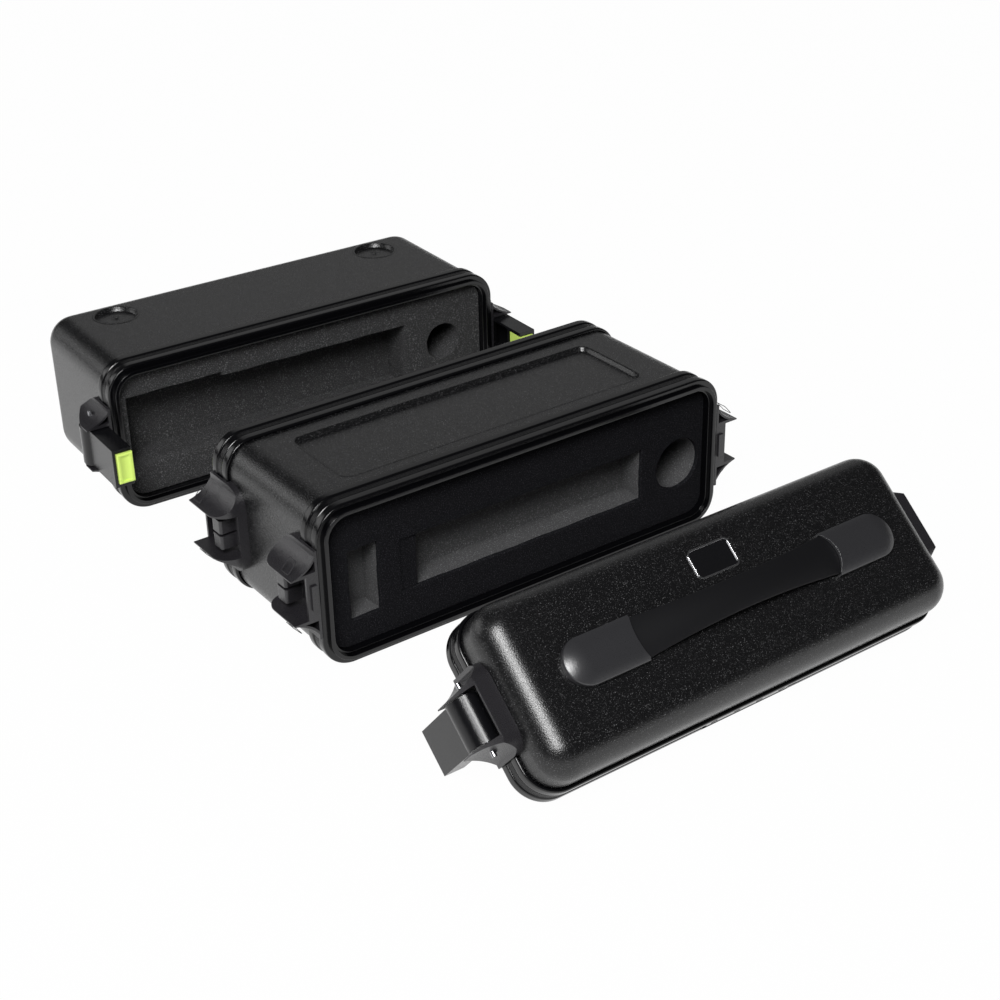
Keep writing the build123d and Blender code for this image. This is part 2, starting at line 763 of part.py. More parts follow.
def strap_cap():
    """Domed cap with a slot for the strap's end and an arched mouth."""
    near = strap_span / 2
    end_centre = near + cap_length - cap_half_width
    dome = ThreePointArc((-cap_half_width, cap_rim_height), (0, cap_height), (cap_half_width, cap_rim_height))
    rim = Polyline((cap_half_width, cap_rim_height), (cap_half_width, 0), (-cap_half_width, 0))
    section = make_face(dome + rim + Line((-cap_half_width, 0), (-cap_half_width, cap_rim_height)))
    cap = extrude(strap_plane(near) * section, end_centre - near)
    half_section = section & (Pos(-cap_half_width / 2, 0) * Rectangle(cap_half_width, 3 * cap_height))
    turning_axis = Axis((end_centre, 0, middle_z), (0, 1, 0))
    cap += revolve(strap_plane(end_centre) * half_section, turning_axis, 180)
    rim_edges = [edge for edge in cap.edges() if at_rim(edge)]
    cap = fillet(rim_edges, cap_edge_round)
    mouth_centre = near - cap_mouth_radius + cap_mouth_depth
    mouth = post(mouth_centre, middle_z, cap_mouth_radius, lid_depth - 1, lid_depth + 30)
    return cap - mouth - strap_end(cap_slot_clearance, tail_length + tail_end_clearance)


def at_rim(edge):
    """Whether an edge of a cap lies along its rim."""
    box = edge.bounding_box()
    rim = lid_depth + cap_rim_height
    return abs(box.min.Y - rim) < 0.01 and abs(box.max.Y - rim) < 0.01


def mirrored_side(shape):
    """Same piece on the other side of the strap's centre."""
    return mirror(shape, Plane.YZ)


# Where each section stands

back_place = Pos(0, middle_depth, 0) * Rot(0, 0, 180)
rear_place = Pos(rear_x, rear_y, 0) * Rot(0, 0, rear_turn)
lid_place = Pos(lid_x, lid_y, 0) * Rot(-lid_lean, 0, 0) * Rot(0, 0, 180)
strap_place = lid_place * Pos(furniture_offset, 0, 0)

pieces = {}

pieces["middle_shell"] = middle_shell
pieces["middle_front_valance"] = tongued_valance()
pieces["middle_rear_valance"] = back_place * grooved_valance()
pieces["middle_rear_gasket"] = back_place * gasket()
pieces["middle_foam"] = middle_foam
pieces["middle_foam_facing"] = middle_foam_facing
pieces["keeper_front_right"] = keeper()
pieces["keeper_front_left"] = other_end(keeper())
pieces["keeper_rear_left"] = back_place * keeper()
pieces["keeper_rear_right"] = back_place * other_end(keeper())
keeper_rivets = base_rivets(keeper_rivet_distance, keeper_rivet_half_pitch)
keeper_rivets += [other_end(rivet) for rivet in keeper_rivets]
keeper_rivets += [back_place * rivet for rivet in keeper_rivets]
pieces["middle_keeper_rivets"] = Compound(children=keeper_rivets)
pieces["middle_splice_front"] = splice_plate()
pieces["middle_splice_rear"] = back_place * splice_plate()
middle_splice_rivets = splice_rivets()
middle_splice_rivets += [back_place * rivet for rivet in middle_splice_rivets]
pieces["middle_splice_rivets"] = Compound(children=middle_splice_rivets)

latch_rivets = base_rivets(latch_rivet_distance, latch_rivet_half_pitch)
latch_rivets += [other_end(rivet) for rivet in latch_rivets]
latch_pins = [pivot_pin(), other_end(pivot_pin())]

pieces["rear_shell"] = rear_place * rear_shell
pieces["rear_valance"] = rear_place * tongued_valance()
pieces["rear_foam"] = rear_place * rear_foam
pieces["rear_foot_left"] = rear_place * foot(-cup_offset)
pieces["rear_foot_right"] = rear_place * foot(cup_offset)
foot_screws = [rear_place * foot_screw(x) for x in (-cup_offset, cup_offset)]
pieces["rear_foot_screws"] = Compound(children=foot_screws)
pieces["rear_latch_base_right"] = rear_place * latch_base()
pieces["rear_latch_base_left"] = rear_place * other_end(latch_base())
pieces["rear_latch_pins"] = Compound(children=[rear_place * pin for pin in latch_pins])
pieces["rear_latch_rivets"] = Compound(children=[rear_place * rivet for rivet in latch_rivets])
pieces["rear_lever_right"] = rear_place * lever()
pieces["rear_lever_left"] = rear_place * other_end(lever())
pieces["rear_trigger_right"] = rear_place * trigger()
pieces["rear_trigger_left"] = rear_place * other_end(trigger())
pieces["rear_splice"] = rear_place * splice_plate()
pieces["rear_splice_rivets"] = Compound(children=[rear_place * rivet for rivet in splice_rivets()])

pieces["lid_shell"] = lid_place * lid_shell
pieces["lid_valance"] = lid_place * grooved_valance()
pieces["lid_gasket"] = lid_place * gasket()
pieces["lid_foam"] = lid_place * lid_foam
pieces["badge_rim"] = lid_place * badge_rim
pieces["badge_plate"] = lid_place * badge_plate
pieces["strap_cap_left"] = strap_place * strap_cap()
pieces["strap_cap_right"] = strap_place * mirrored_side(strap_cap())
pieces["strap_tail_left"] = strap_place * strap_end(0, tail_length)
pieces["strap_tail_right"] = strap_place * mirrored_side(strap_end(0, tail_length))
pieces["strap_grip"] = lid_place * strap_grip()
pieces["lid_latch_base_left"] = lid_place * latch_base()
pieces["lid_latch_base_right"] = lid_place * other_end(latch_base())
pieces["lid_latch_pins"] = Compound(children=[lid_place * pin for pin in latch_pins])
pieces["lid_latch_rivets"] = Compound(children=[lid_place * rivet for rivet in latch_rivets])
pieces["lid_lever_left"] = lid_place * lever()
pieces["lid_lever_right"] = lid_place * other_end(lever())
pieces["lid_trigger_left"] = lid_place * trigger()
pieces["lid_trigger_right"] = lid_place * other_end(trigger())
pieces["lid_splice"] = lid_place * splice_plate()
pieces["lid_splice_rivets"] = Compound(children=[lid_place * rivet for rivet in splice_rivets()])

# Origin: centre of the whole set's footprint, on the floor
boxes = [piece.bounding_box() for piece in pieces.values()]
centre_x = (min(box.min.X for box in boxes) + max(box.max.X for box in boxes)) / 2
centre_y = (min(box.min.Y for box in boxes) + max(box.max.Y for box in boxes)) / 2
floor_z = min(box.min.Z for box in boxes)
to_origin = Pos(-centre_x, -centre_y, -floor_z)

for name, piece in pieces.items():
    export_step(to_origin * piece, f"parts/{name}.step")
print("origin shift", -centre_x, -centre_y, -floor_z)
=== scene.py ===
import bmesh
import bpy
import numpy as np
from mathutils import Matrix, Vector


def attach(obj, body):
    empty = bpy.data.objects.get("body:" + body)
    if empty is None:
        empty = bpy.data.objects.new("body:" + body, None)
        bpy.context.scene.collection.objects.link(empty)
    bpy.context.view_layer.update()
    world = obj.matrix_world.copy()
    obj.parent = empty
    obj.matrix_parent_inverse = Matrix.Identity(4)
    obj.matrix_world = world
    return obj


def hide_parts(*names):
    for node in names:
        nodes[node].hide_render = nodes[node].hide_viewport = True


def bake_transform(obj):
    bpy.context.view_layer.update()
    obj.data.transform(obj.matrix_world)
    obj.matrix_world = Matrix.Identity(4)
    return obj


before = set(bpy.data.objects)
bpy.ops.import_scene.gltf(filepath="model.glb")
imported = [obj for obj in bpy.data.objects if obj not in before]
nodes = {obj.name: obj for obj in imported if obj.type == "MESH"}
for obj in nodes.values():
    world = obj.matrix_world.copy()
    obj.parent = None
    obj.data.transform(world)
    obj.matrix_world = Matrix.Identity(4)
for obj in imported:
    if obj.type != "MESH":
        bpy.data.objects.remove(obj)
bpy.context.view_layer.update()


# Camera
# A short telephoto lens, a little above the case and to its left, turned a
# degree about its own axis. It looks past the middle section's front edge.

AZIMUTH, ELEVATION, ROLL = np.radians([-35.44, 28.81, -1.24])
LENS = 64.81
LOOKS_AT = np.array([-0.0028, -0.0362, 0.060])
DISTANCE, RIGHT_OFFSET, UP_OFFSET = 1.28466, -0.01328, 0.01176

level = np.array([np.cos(AZIMUTH), np.sin(AZIMUTH), 0.0])
backward = np.array([
    np.sin(AZIMUTH) * np.cos(ELEVATION),
    -np.cos(AZIMUTH) * np.cos(ELEVATION),
    np.sin(ELEVATION),
])
upward = np.cross(backward, level)
right = np.cos(ROLL) * level + np.sin(ROLL) * upward
up = np.cos(ROLL) * upward - np.sin(ROLL) * level
spot = LOOKS_AT + backward * DISTANCE - right * RIGHT_OFFSET - up * UP_OFFSET

camera = bpy.data.objects.new("camera", bpy.data.cameras.new("camera"))
camera.data.lens = LENS
camera.data.clip_start = 0.05
camera.matrix_world = Matrix((
    (right[0], up[0], backward[0], spot[0]),
    (right[1], up[1], backward[1], spot[1]),
    (right[2], up[2], backward[2], spot[2]),
    (0, 0, 0, 1),
))
bpy.context.scene.collection.objects.link(camera)
bpy.context.scene.camera = camera


# Floor and studio light
# A white paper floor that runs on as the backdrop, a soft box high at the front
# left, and two faint wide ones behind the case, which its flat tops and rounded
# left edges mirror.

def material(name, base, roughness, specular, metallic=0):
    """Opaque surface of one colour, whose sockets later steps add to. Returns the material,
    its node tree and its shader."""
    made = bpy.data.materials.new(name)
    made.use_nodes = True
    shader = made.node_tree.nodes["Principled BSDF"]
    shader.inputs["Base Color"].default_value = (*base, 1)
    shader.inputs["Roughness"].default_value = roughness
    shader.inputs["Specular IOR Level"].default_value = specular
    shader.inputs["Metallic"].default_value = metallic
    return made, made.node_tree, shader


def soft_box(name, place, target, size, power):
    """Rectangular lamp at place, turned to face target."""
    data = bpy.data.lights.new(name, "AREA")
    data.shape = "RECTANGLE"
    data.size, data.size_y = size
    data.energy = power
    lamp = bpy.data.objects.new(name, data)
    lamp.location = place
    direction = Vector(target) - Vector(place)
    lamp.rotation_euler = direction.to_track_quat("-Z", "Y").to_euler()
    bpy.context.scene.collection.objects.link(lamp)


def seen_share(tree, camera_share, mirrored_share, otherwise):
    """Value for rays from the camera, for mirrored rays, and for all others."""
    rays = tree.nodes.new("ShaderNodeLightPath")
    value = otherwise
    for kind, share in (("Is Glossy Ray", mirrored_share), ("Is Camera Ray", camera_share)):
        mix = tree.nodes.new("ShaderNodeMix")
        mix.inputs["B"].default_value = share
        tree.links.new(rays.outputs[kind], mix.inputs["Factor"])
        if isinstance(value, float):
            mix.inputs["A"].default_value = value
        else:
            tree.links.new(value, mix.inputs["A"])
        value = mix.outputs["Result"]
    return value


floor_mesh = bpy.data.meshes.new("floor")
floor_mesh.from_pydata([(-6, -6, 0), (6, -6, 0), (6, 6, 0), (-6, 6, 0)], [], [(0, 1, 2, 3)])
floor = bpy.data.objects.new("floor", floor_mesh)
bpy.context.scene.collection.objects.link(floor)
paper, tree, shader = material("white_paper", (0.62, 0.62, 0.62), 0.9, 0.1)
glow = tree.nodes.new("ShaderNodeEmission")
glow.inputs["Strength"].default_value = 1.0
mix = tree.nodes.new("ShaderNodeMixShader")
tree.links.new(seen_share(tree, 0.985, 0.9, 0.0), mix.inputs[0])
tree.links.new(shader.outputs[0], mix.inputs[1])
tree.links.new(glow.outputs[0], mix.inputs[2])
tree.links.new(mix.outputs[0], tree.nodes["Material Output"].inputs["Surface"])
floor_mesh.materials.append(paper)

world = bpy.data.worlds.new("studio")
world.use_nodes = True
backdrop = world.node_tree.nodes["Background"]
backdrop.inputs["Color"].default_value = (1, 1, 1, 1)
world.node_tree.links.new(seen_share(world.node_tree, 1.0, 0.05, 0.08), backdrop.inputs["Strength"])
bpy.context.scene.world = world

soft_box("key_front_left", (-1.15, -1.2, 1.7), (0, 0, 0.05), (0.9, 0.9), 54)
soft_box("panel_left", (-1.6, 1.5, 0.9), (0, 0, 0.05), (1.8, 0.9), 8)
soft_box("panel_behind", (1.3, 1.85, 1.2), (0, 0, 0.05), (2.6, 1.6), 3.6)
bpy.context.scene.view_settings.view_transform = "Standard"


# Middle shell
# Open-ended box of black polyethylene, drawn over a mould so that its grain
# stands out most at the rounded edges; a shallow panel with a thin lip round it
# is let into its top.

LENGTH, HEIGHT, CORNER = 340.0, 120.0, 23.0
SETBACK, WALL, SEAT = 2.5, 3.2, 8.3
HALF_RUN, MIDDLE_DEPTH = LENGTH / 2 - CORNER, 139.5
TO_ROW_FRAME = np.array([-2.8004679, -96.2201512, 0.0])


def turned(axis, degrees):
    """Rotation matrix about X or Z, by an angle in degrees."""
    c, s = np.cos(np.radians(degrees)), np.sin(np.radians(degrees))
    if axis == "x":
        return np.array([[1, 0, 0], [0, c, -s], [0, s, c]])
    return np.array([[c, -s, 0], [s, c, 0], [0, 0, 1]])


LEVER_HALF_WIDTH, LEVER_REACH = 15.25, 38.0
LID_LEAN = np.degrees(np.arctan((HEIGHT / 2 - LEVER_HALF_WIDTH) / LEVER_REACH))
STANDS = {
    "middle": (np.eye(3), np.array([0, 0, 0])),
    "middle_back": (turned("z", 180), np.array([0, MIDDLE_DEPTH, 0])),
    "rear": (turned("z", -2.1), np.array([-11.1, 273.1, 0])),
    "lid": (turned("x", -LID_LEAN) @ turned("z", 180), np.array([16.4, -196.8, 0])),
}


def stood(points, section):
    """Points of a section's own frame, in mm, turned and moved to where it stands, in m."""
    turn, place = STANDS[section]
    return (points @ turn.T + place + TO_ROW_FRAME) / 1000


def finished(name, points, faces, body, slot, *replaced, look, sharp=38):
    """Mesh object from points and faces that rides on a body and stands for CAD nodes:
    doubled points are joined, faces turned outwards, and edges sharper than an angle kept."""
    mesh = bpy.data.meshes.new(name)
    mesh.from_pydata(points.tolist(), [], faces.tolist())
    joined = bmesh.new()
    joined.from_mesh(mesh)
    bmesh.ops.remove_doubles(joined, verts=joined.verts, dist=2e-6)
    bmesh.ops.recalc_face_normals(joined, faces=joined.faces)
    joined.to_mesh(mesh)
    joined.free()
    mesh.validate()
    mesh.polygons.foreach_set("use_smooth", np.full(len(mesh.polygons), True))
    mesh.set_sharp_from_angle(angle=np.radians(sharp))
    piece = bpy.data.objects.new(name, mesh)
    bpy.context.scene.collection.objects.link(piece)
    mesh.materials.append(look)
    if body:
        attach(piece, body)
    if replaced:
        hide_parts(*replaced)
    return piece


def grid_faces(rows, columns, rows_close=False, columns_close=False):
    """Quads between neighbouring rows and columns of a grid of points."""
    r = np.arange(rows if rows_close else rows - 1)[:, None]
    c = np.arange(columns if columns_close else columns - 1)[None, :]
    r2, c2 = (r + 1) % rows, (c + 1) % columns
    quads = np.stack(np.broadcast_arrays(
        r * columns + c, r2 * columns + c, r2 * columns + c2, r * columns + c2), -1)
    return quads.reshape(-1, 4)


def as_grid(points, rows_close=False, columns_close=False):
    """A grid's points in one list, with its faces."""
    return points.reshape(-1, 3), grid_faces(*points.shape[:2], rows_close, columns_close)


def lines_near(start, end, coarse, marks, spread, fine):
    """Coordinates from start to end at a coarse step, at a fine step near each mark."""
    parts = [np.linspace(start, end, max(2, int(np.ceil((end - start) / coarse)) + 1))]
    for mark in marks:
        parts.append(np.arange(mark - spread, mark + spread, fine))
    values = np.concatenate(parts)
    values = np.unique(np.round(values[(values >= start) & (values <= end)], 4))
    keep = np.concatenate([[True], np.diff(values) > fine * 0.45])
    keep[-1] = True
    return values[keep]


def stations(top, bottom, side=9, corner=10):
    """Stops around the outline, clockwise from its top left: shares of the half length and
    half height of the straight runs, and the direction in which each stop faces."""
    arc = np.linspace(90, 0, corner + 2)[1:-1]
    ones, run = np.ones_like, np.linspace(1, -1, side)
    across = np.concatenate([
        top, ones(arc), ones(run), ones(arc), bottom, -ones(arc), -ones(run), -ones(arc)])
    rise = np.concatenate([
        ones(top), ones(arc), run, -ones(arc), -ones(bottom), -ones(arc), -run, ones(arc)])
    facing = np.concatenate([
        90 + 0 * top, arc, 0 * run, arc - 90, -90 + 0 * bottom, arc - 180, 180 + 0 * run, arc + 90])
    return across, rise, np.radians(facing)


def carried_round(path, stops):
    """Section path of (inset, depth) carried round the case's outline: at each stop the
    outline is drawn in by the inset, its corner radius shrinking until it is square."""
    inset, depth = path[:, :1], path[:, 1:2]
    across, rise, facing = stops
    drawn = np.maximum(CORNER, inset)
    radius = np.maximum(CORNER - inset, 0)
    x = across * (LENGTH / 2 - drawn) + radius * np.cos(facing)
    z = HEIGHT / 2 + rise * (HEIGHT / 2 - drawn) + radius * np.sin(facing)
    return np.stack([x, np.broadcast_to(depth, x.shape), z], -1)


def inside_panel(x, y, centre, half, radius, slope):
    """Share, 0 outside to 1 inside, of a rounded rectangle's recess: a smooth step over
    slope mm of the distance to its edge."""
    dx = np.abs(x - centre[0]) - half[0] + radius
    dy = np.abs(y - centre[1]) - half[1] + radius
    outside = np.hypot(np.maximum(dx, 0), np.maximum(dy, 0)) + np.minimum(np.maximum(dx, dy), 0) - radius
    t = np.clip(-outside / slope, 0, 1)
    return t * t * (3 - 2 * t)


def grain(tree, scale, strength, distance):
    """Bump of moulded grain, 0.7 of small rounded cells plus a finer noise. Returns the
    texture coordinates and the noise for other sockets."""
    place = tree.nodes.new("ShaderNodeTexCoord")
    cells = tree.nodes.new("ShaderNodeTexVoronoi")
    cells.feature = "SMOOTH_F1"
    cells.inputs["Scale"].default_value = scale
    cells.inputs["Smoothness"].default_value = 0.6
    fine = tree.nodes.new("ShaderNodeTexNoise")
    fine.inputs["Scale"].default_value = scale * 1.7
    fine.inputs["Detail"].default_value = 3
    both = tree.nodes.new("ShaderNodeMath")
    both.operation = "MULTIPLY_ADD"
    both.inputs[1].default_value = 0.7
    bump = tree.nodes.new("ShaderNodeBump")
    bump.inputs["Strength"].default_value = strength
    bump.inputs["Distance"].default_value = distance
    tree.links.new(place.outputs["Object"], cells.inputs["Vector"])
    tree.links.new(place.outputs["Object"], fine.inputs["Vector"])
    tree.links.new(cells.outputs["Distance"], both.inputs[0])
    tree.links.new(fine.outputs["Fac"], both.inputs[2])
    tree.links.new(both.outputs[0], bump.inputs["Height"])
    tree.links.new(bump.outputs[0], tree.nodes["Principled BSDF"].inputs["Normal"])
    return place, fine


def spread(tree, source, low, high, socket, start=0.3, end=0.7):
    """Socket value that runs from low to high as a texture runs from start to end."""
    ramp = tree.nodes.new("ShaderNodeMapRange")
    ramp.inputs["From Min"].default_value = start
    ramp.inputs["From Max"].default_value = end
    ramp.inputs["To Min"].default_value = low
    ramp.inputs["To Max"].default_value = high
    tree.links.new(source, ramp.inputs["Value"])
    tree.links.new(ramp.outputs[0], socket)


def with_painted_glints(tree, place, base, glint_colour, scale, start, end):
    """Base colour with small pale flecks, painted glints, where a fine noise rises from start to end."""
    glint_flecks = tree.nodes.new("ShaderNodeTexNoise")
    glint_flecks.inputs["Scale"].default_value = scale
    glint_flecks.inputs["Detail"].default_value = 2
    tree.links.new(place.outputs["Object"], glint_flecks.inputs["Vector"])
    colours = tree.nodes.new("ShaderNodeMix")
    colours.data_type = "RGBA"
    colours.inputs["A"].default_value = (*base, 1)
    colours.inputs["B"].default_value = (*glint_colour, 1)
    spread(tree, glint_flecks.outputs["Fac"], 0.0, 1.0, colours.inputs["Factor"], start, end)
    tree.links.new(colours.outputs["Result"], tree.nodes["Principled BSDF"].inputs["Base Color"])


def grained(name, base, specular, roughness, scale, strength, distance, metallic=0, glint_flecks=None):
    """Material with moulded grain whose roughness follows the grain's noise between two
    values; the last argument gives what the flecking needs for its colour: painted glints."""
    look, tree, shader = material(name, base, sum(roughness) / 2, specular, metallic)
    place, fine = grain(tree, scale, strength, distance)
    spread(tree, fine.outputs["Fac"], *roughness, shader.inputs["Roughness"])
    if glint_flecks:
        with_painted_glints(tree, place, *glint_flecks)
    return look


# The shell's pale flecks are painted glints: the grain's tiny highlights fixed in its colour.
shell_look = grained("pebbled_black_shell", (0.006, 0.006, 0.0065), 0.6, (0.2, 0.34), 1100, 0.7, 0.00014,
                     glint_flecks=((0.0045, 0.0045, 0.005), (0.2, 0.2, 0.205), 1700, 0.63, 0.73))

PANEL_CENTRE, PANEL_HALF, PANEL_CORNER = (0, 68.5), (127, 35.5), 8
PANEL_DEEP, PANEL_SLOPE = 3.5, 2.9
PANEL_LIP, PANEL_LIP_WIDE, PANEL_LIP_RISE, PANEL_LIP_FALL = 0.22, 1.8, 1.2, 0.8

across = lines_near(-HALF_RUN, HALF_RUN, 6, (-125.6, 125.6), 3.5, 0.5) / HALF_RUN
middle_stops = stations(across, -np.linspace(-1, 1, 30))
along = lines_near(SEAT, MIDDLE_DEPTH - SEAT, 6, (34.4, 102.6), 3.5, 0.5)
wall_in = SETBACK + WALL
outer = np.stack([np.full_like(along, SETBACK), along], -1)
inner = np.array([[wall_in, MIDDLE_DEPTH - SEAT], [wall_in, SEAT]])
path = np.concatenate([outer, inner])
points = carried_round(path, middle_stops)
top_run = slice(0, len(across))
outer_rows = slice(0, len(along))
x, y = points[outer_rows, top_run, 0], points[outer_rows, top_run, 1]
points[outer_rows, top_run, 2] -= PANEL_DEEP * inside_panel(
    x, y, PANEL_CENTRE, PANEL_HALF, PANEL_CORNER, PANEL_SLOPE)
lip_half = np.array(PANEL_HALF) + PANEL_LIP_WIDE
points[outer_rows, top_run, 2] += PANEL_LIP * (
    inside_panel(x, y, PANEL_CENTRE, lip_half, PANEL_CORNER + PANEL_LIP_WIDE, PANEL_LIP_RISE)
    - inside_panel(x, y, PANEL_CENTRE, PANEL_HALF, PANEL_CORNER, PANEL_LIP_FALL))
points, faces = as_grid(points, True, True)
finished("middle_shell_moulding", stood(points, "middle"), faces, "middle", "shell",
         "middle_shell", look=shell_look)


# Valances
# Black extrusions with two rounded ribs and a shallow ribbed channel between
# them, bent around each open edge and pressed onto the shell's lip. The front
# ones carry a tongue, the others a groove for it.

VALANCE_DEPTH, VALANCE_INSET = 21.0, 9.0
TONGUE_INSET, TONGUE_WIDE, TONGUE_HIGH = 4.2, 3.0, 3.2
GROOVE_GAP, GROOVE_DEEP = 0.4, 5.0
CHANNEL_START, CHANNEL_END, CHANNEL_DEEP = 7.0, 14.0, 0.9
FINE_RIBS, FINE_RIB_SWING = 4, 0.1
PLATE_SEAT_HALF, PLATE_SEAT_NEAR, PLATE_SEAT_FAR, PLATE_SEAT_SUNK = 36.15, 3.35, 17.65, 1.4


def eased(corners, reach, steps=3, closed=False):
    """Polyline whose corners are eased by small parabolas: reach is how far along each
    neighbouring run the curve starts, at most 45% of that run."""
    corners = np.asarray(corners, float)
    before, after = np.roll(corners, 1, 0) - corners, np.roll(corners, -1, 0) - corners
    long_before = np.linalg.norm(before, axis=1, keepdims=True)
    long_after = np.linalg.norm(after, axis=1, keepdims=True)
    near = np.broadcast_to(np.reshape(reach, (-1, 1)), long_before.shape)
    start = corners + before / long_before * np.minimum(near, 0.45 * long_before)
    end = corners + after / long_after * np.minimum(near, 0.45 * long_after)
    t = np.linspace(0, 1, steps)[None, :, None]
    curve = (1 - t) ** 2 * start[:, None] + 2 * t * (1 - t) * corners[:, None] + t ** 2 * end[:, None]
    if closed:
        return curve.reshape(-1, 2)
    return np.concatenate([corners[:1], curve[1:-1].reshape(-1, 2), corners[-1:]])


def lines_at(start, end, coarse, *marks):
    """Coordinates from start to end: every mark, and between marks a coarse step."""
    marks = np.unique(np.round(np.concatenate([[start, end], *marks]), 4))
    marks = marks[(marks >= start) & (marks <= end)]
    gaps = np.diff(marks)
    return np.concatenate([
        *[low + gap * np.arange(n) / n for low, gap, n in
          zip(marks[:-1], gaps, np.ceil(gaps / coarse).astype(int))], [end]])


def ribbed_channel(depth):
    """Inset of the channel between the ribs: a bowl as flat as an eighth power, less the
    fine ribs, which are waves of a cosine over its inner four fifths."""
    share = (depth - CHANNEL_START) / (CHANNEL_END - CHANNEL_START)
    bowl = CHANNEL_DEEP * (1 - (2 * share - 1) ** 8)
    ripple = FINE_RIB_SWING * (1 - np.cos(2 * np.pi * share * (FINE_RIBS + 1)))
    return bowl - ripple * (np.abs(share - 0.5) < 0.4)


def sunk_for_plate(points, stops):
    """The underside's outer face raised to the bottom of the splice plate's seat."""
    x, y, z = points[..., 0], points[..., 1], points[..., 2]
    seat = (stops[1] == -1) & (np.abs(x) < PLATE_SEAT_HALF) & (y > PLATE_SEAT_NEAR) & (y < PLATE_SEAT_FAR)
    points[..., 2] = np.where(seat, np.maximum(z, PLATE_SEAT_SUNK), z)


valance_look = grained("satin_black_valance", (0.002, 0.002, 0.0026), 0.45, (0.11, 0.2),
                       2600, 0.12, 0.0002)

depth = np.linspace(CHANNEL_END - 0.5, CHANNEL_START + 0.5, 41)
channel = np.stack([ribbed_channel(depth), depth], -1)
lip = np.array([
    (wall_in + 0.05, SEAT - 0.05), (wall_in + 0.05, VALANCE_DEPTH), (VALANCE_INSET, VALANCE_DEPTH)])
seat = np.array([
    (1.6, VALANCE_DEPTH), (SETBACK - 0.05, VALANCE_DEPTH - 0.6), (SETBACK - 0.05, SEAT - 0.05)])
shell_rib = eased([(0.9, CHANNEL_END - 0.2), (0.05, CHANNEL_END + 0.4), (0, CHANNEL_END + 3),
                   (0, PLATE_SEAT_FAR - 0.1), (0, PLATE_SEAT_FAR + 0.1),
                   (0, VALANCE_DEPTH - 1.2), (0.5, VALANCE_DEPTH - 0.25), (1.6, VALANCE_DEPTH)],
                  (1.4, 1.4, 1.4, 0, 0, 1.4, 1.4, 1.4), 5)
front_rib = eased([(1.4, 0), (0.35, 0.35), (0, 1.5), (0, PLATE_SEAT_NEAR - 0.1), (0, PLATE_SEAT_NEAR + 0.1),
                   (0, CHANNEL_START - 2), (0.05, CHANNEL_START - 0.4), (0.9, CHANNEL_START + 0.2)],
                  (1.4, 1.4, 1.4, 0, 0, 1.4, 1.4, 1.4), 5)
tongue_far = TONGUE_INSET + TONGUE_WIDE
tongue = eased([(TONGUE_INSET, 0), (TONGUE_INSET, -TONGUE_HIGH), (tongue_far, -TONGUE_HIGH), (tongue_far, 0)],
               0.5, 4)[::-1]
groove_near, groove_far = TONGUE_INSET - GROOVE_GAP, tongue_far + GROOVE_GAP
groove = eased([(groove_near, 0), (groove_near, GROOVE_DEEP), (groove_far, GROOVE_DEEP), (groove_far, 0)],
               0.3, 3)[::-1]
inner_edge = eased([(8.3, 0), (VALANCE_INSET, 0), (VALANCE_INSET, 0.8)], 0.6, 4)[::-1]
seat_sides = PLATE_SEAT_HALF + np.array([-0.1, 0.1])
below = lines_at(-HALF_RUN, HALF_RUN, 5, seat_sides, -seat_sides) / HALF_RUN
valance_stops = stations(np.linspace(-1, 1, 60), -below, 24, 22)

for name, section, body, edge in (
        ("middle_front_valance", "middle", "middle", tongue),
        ("middle_rear_valance", "middle_back", "middle", groove),
        ("rear_valance", "rear", "rear_section", tongue),
        ("lid_valance", "lid", "lid", groove)):
    path = np.concatenate([lip, inner_edge, edge, front_rib, channel[::-1], shell_rib, seat])
    points = carried_round(path, valance_stops)
    sunk_for_plate(points, valance_stops)
    points, faces = as_grid(points, True, True)
    piece = finished(name + "_extrusion", stood(points, section), faces, body, "valance", name,
                     look=valance_look)
    piece.modifiers.new("even_shading", "WEIGHTED_NORMAL").keep_sharp = True


# Rear shell
# Deep-drawn box in the same polyethylene with rounded far edges. Two stacking
# cups in its top, each with a rolled lip, a low disc and a centre dot, take
# another case's feet.

REAR_DEPTH, REAR_EDGE = 135.0, 17.0
CUPS, CUP_PLACE = (-118.0, 118.0), 101.0
CUP_MOUTH, CUP_UNDER, CUP_STEP = 17.4, 5.0, 0.6
CUP_PROFILE = np.array([
    (0, -1.9), (1.1, -1.9), (1.4, -2.1), (1.5, -2.6), (1.8, -2.75), (6, -2.8), (13.4, -2.8), (13.9, -2.95),
    (14.2, -3.7), (14.5, -4.0), (14.9, -4.0), (15.3, -3.8), (16.4, -0.6), (16.7, 0.0), (17.1, 0.24),
    (17.6, 0.3), (18.2, 0.2), (18.8, -0.08), (18.9, -0.4), (17.2, -0.5), (15.9, -4.5), (0, -4.5)])


def far_edge(inset, depth, radius):
    """Quarter round from a wall at inset to a far face at depth."""
    t = np.radians(np.concatenate([[0, 1.5, 3, 5], np.linspace(10, 90, 9)]))
    return np.stack([inset + radius * (1 - np.cos(t)), depth - radius + radius * np.sin(t)], -1)


def drawn_box(depth, edge, along, across, run):
    """Loops of a deep-drawn box from its inner to its outer far face, as (loops, first and
    last row of its outer wall), with that outer far face as a grid of its own."""
    inner_depth = depth - WALL
    inner = np.concatenate([
        [[60.0, inner_depth], [CORNER, inner_depth]],
        far_edge(wall_in, inner_depth, edge - WALL)[::-1], [[wall_in, SEAT]]])
    outer = np.stack([np.full_like(along, SETBACK), along], -1)
    path = np.concatenate([inner, outer, far_edge(SETBACK, depth, edge)[1:], [[CORNER, depth]]])
    loops = carried_round(path, stations(across, across[::-1], len(run)))
    x = np.broadcast_to(across * HALF_RUN, (len(run), len(across)))
    z = np.broadcast_to(HEIGHT / 2 + run[:, None] * (HEIGHT / 2 - CORNER), x.shape)
    face = np.stack([x, np.full_like(x, depth), z], -1)
    return loops, slice(len(inner), len(inner) + len(along)), face


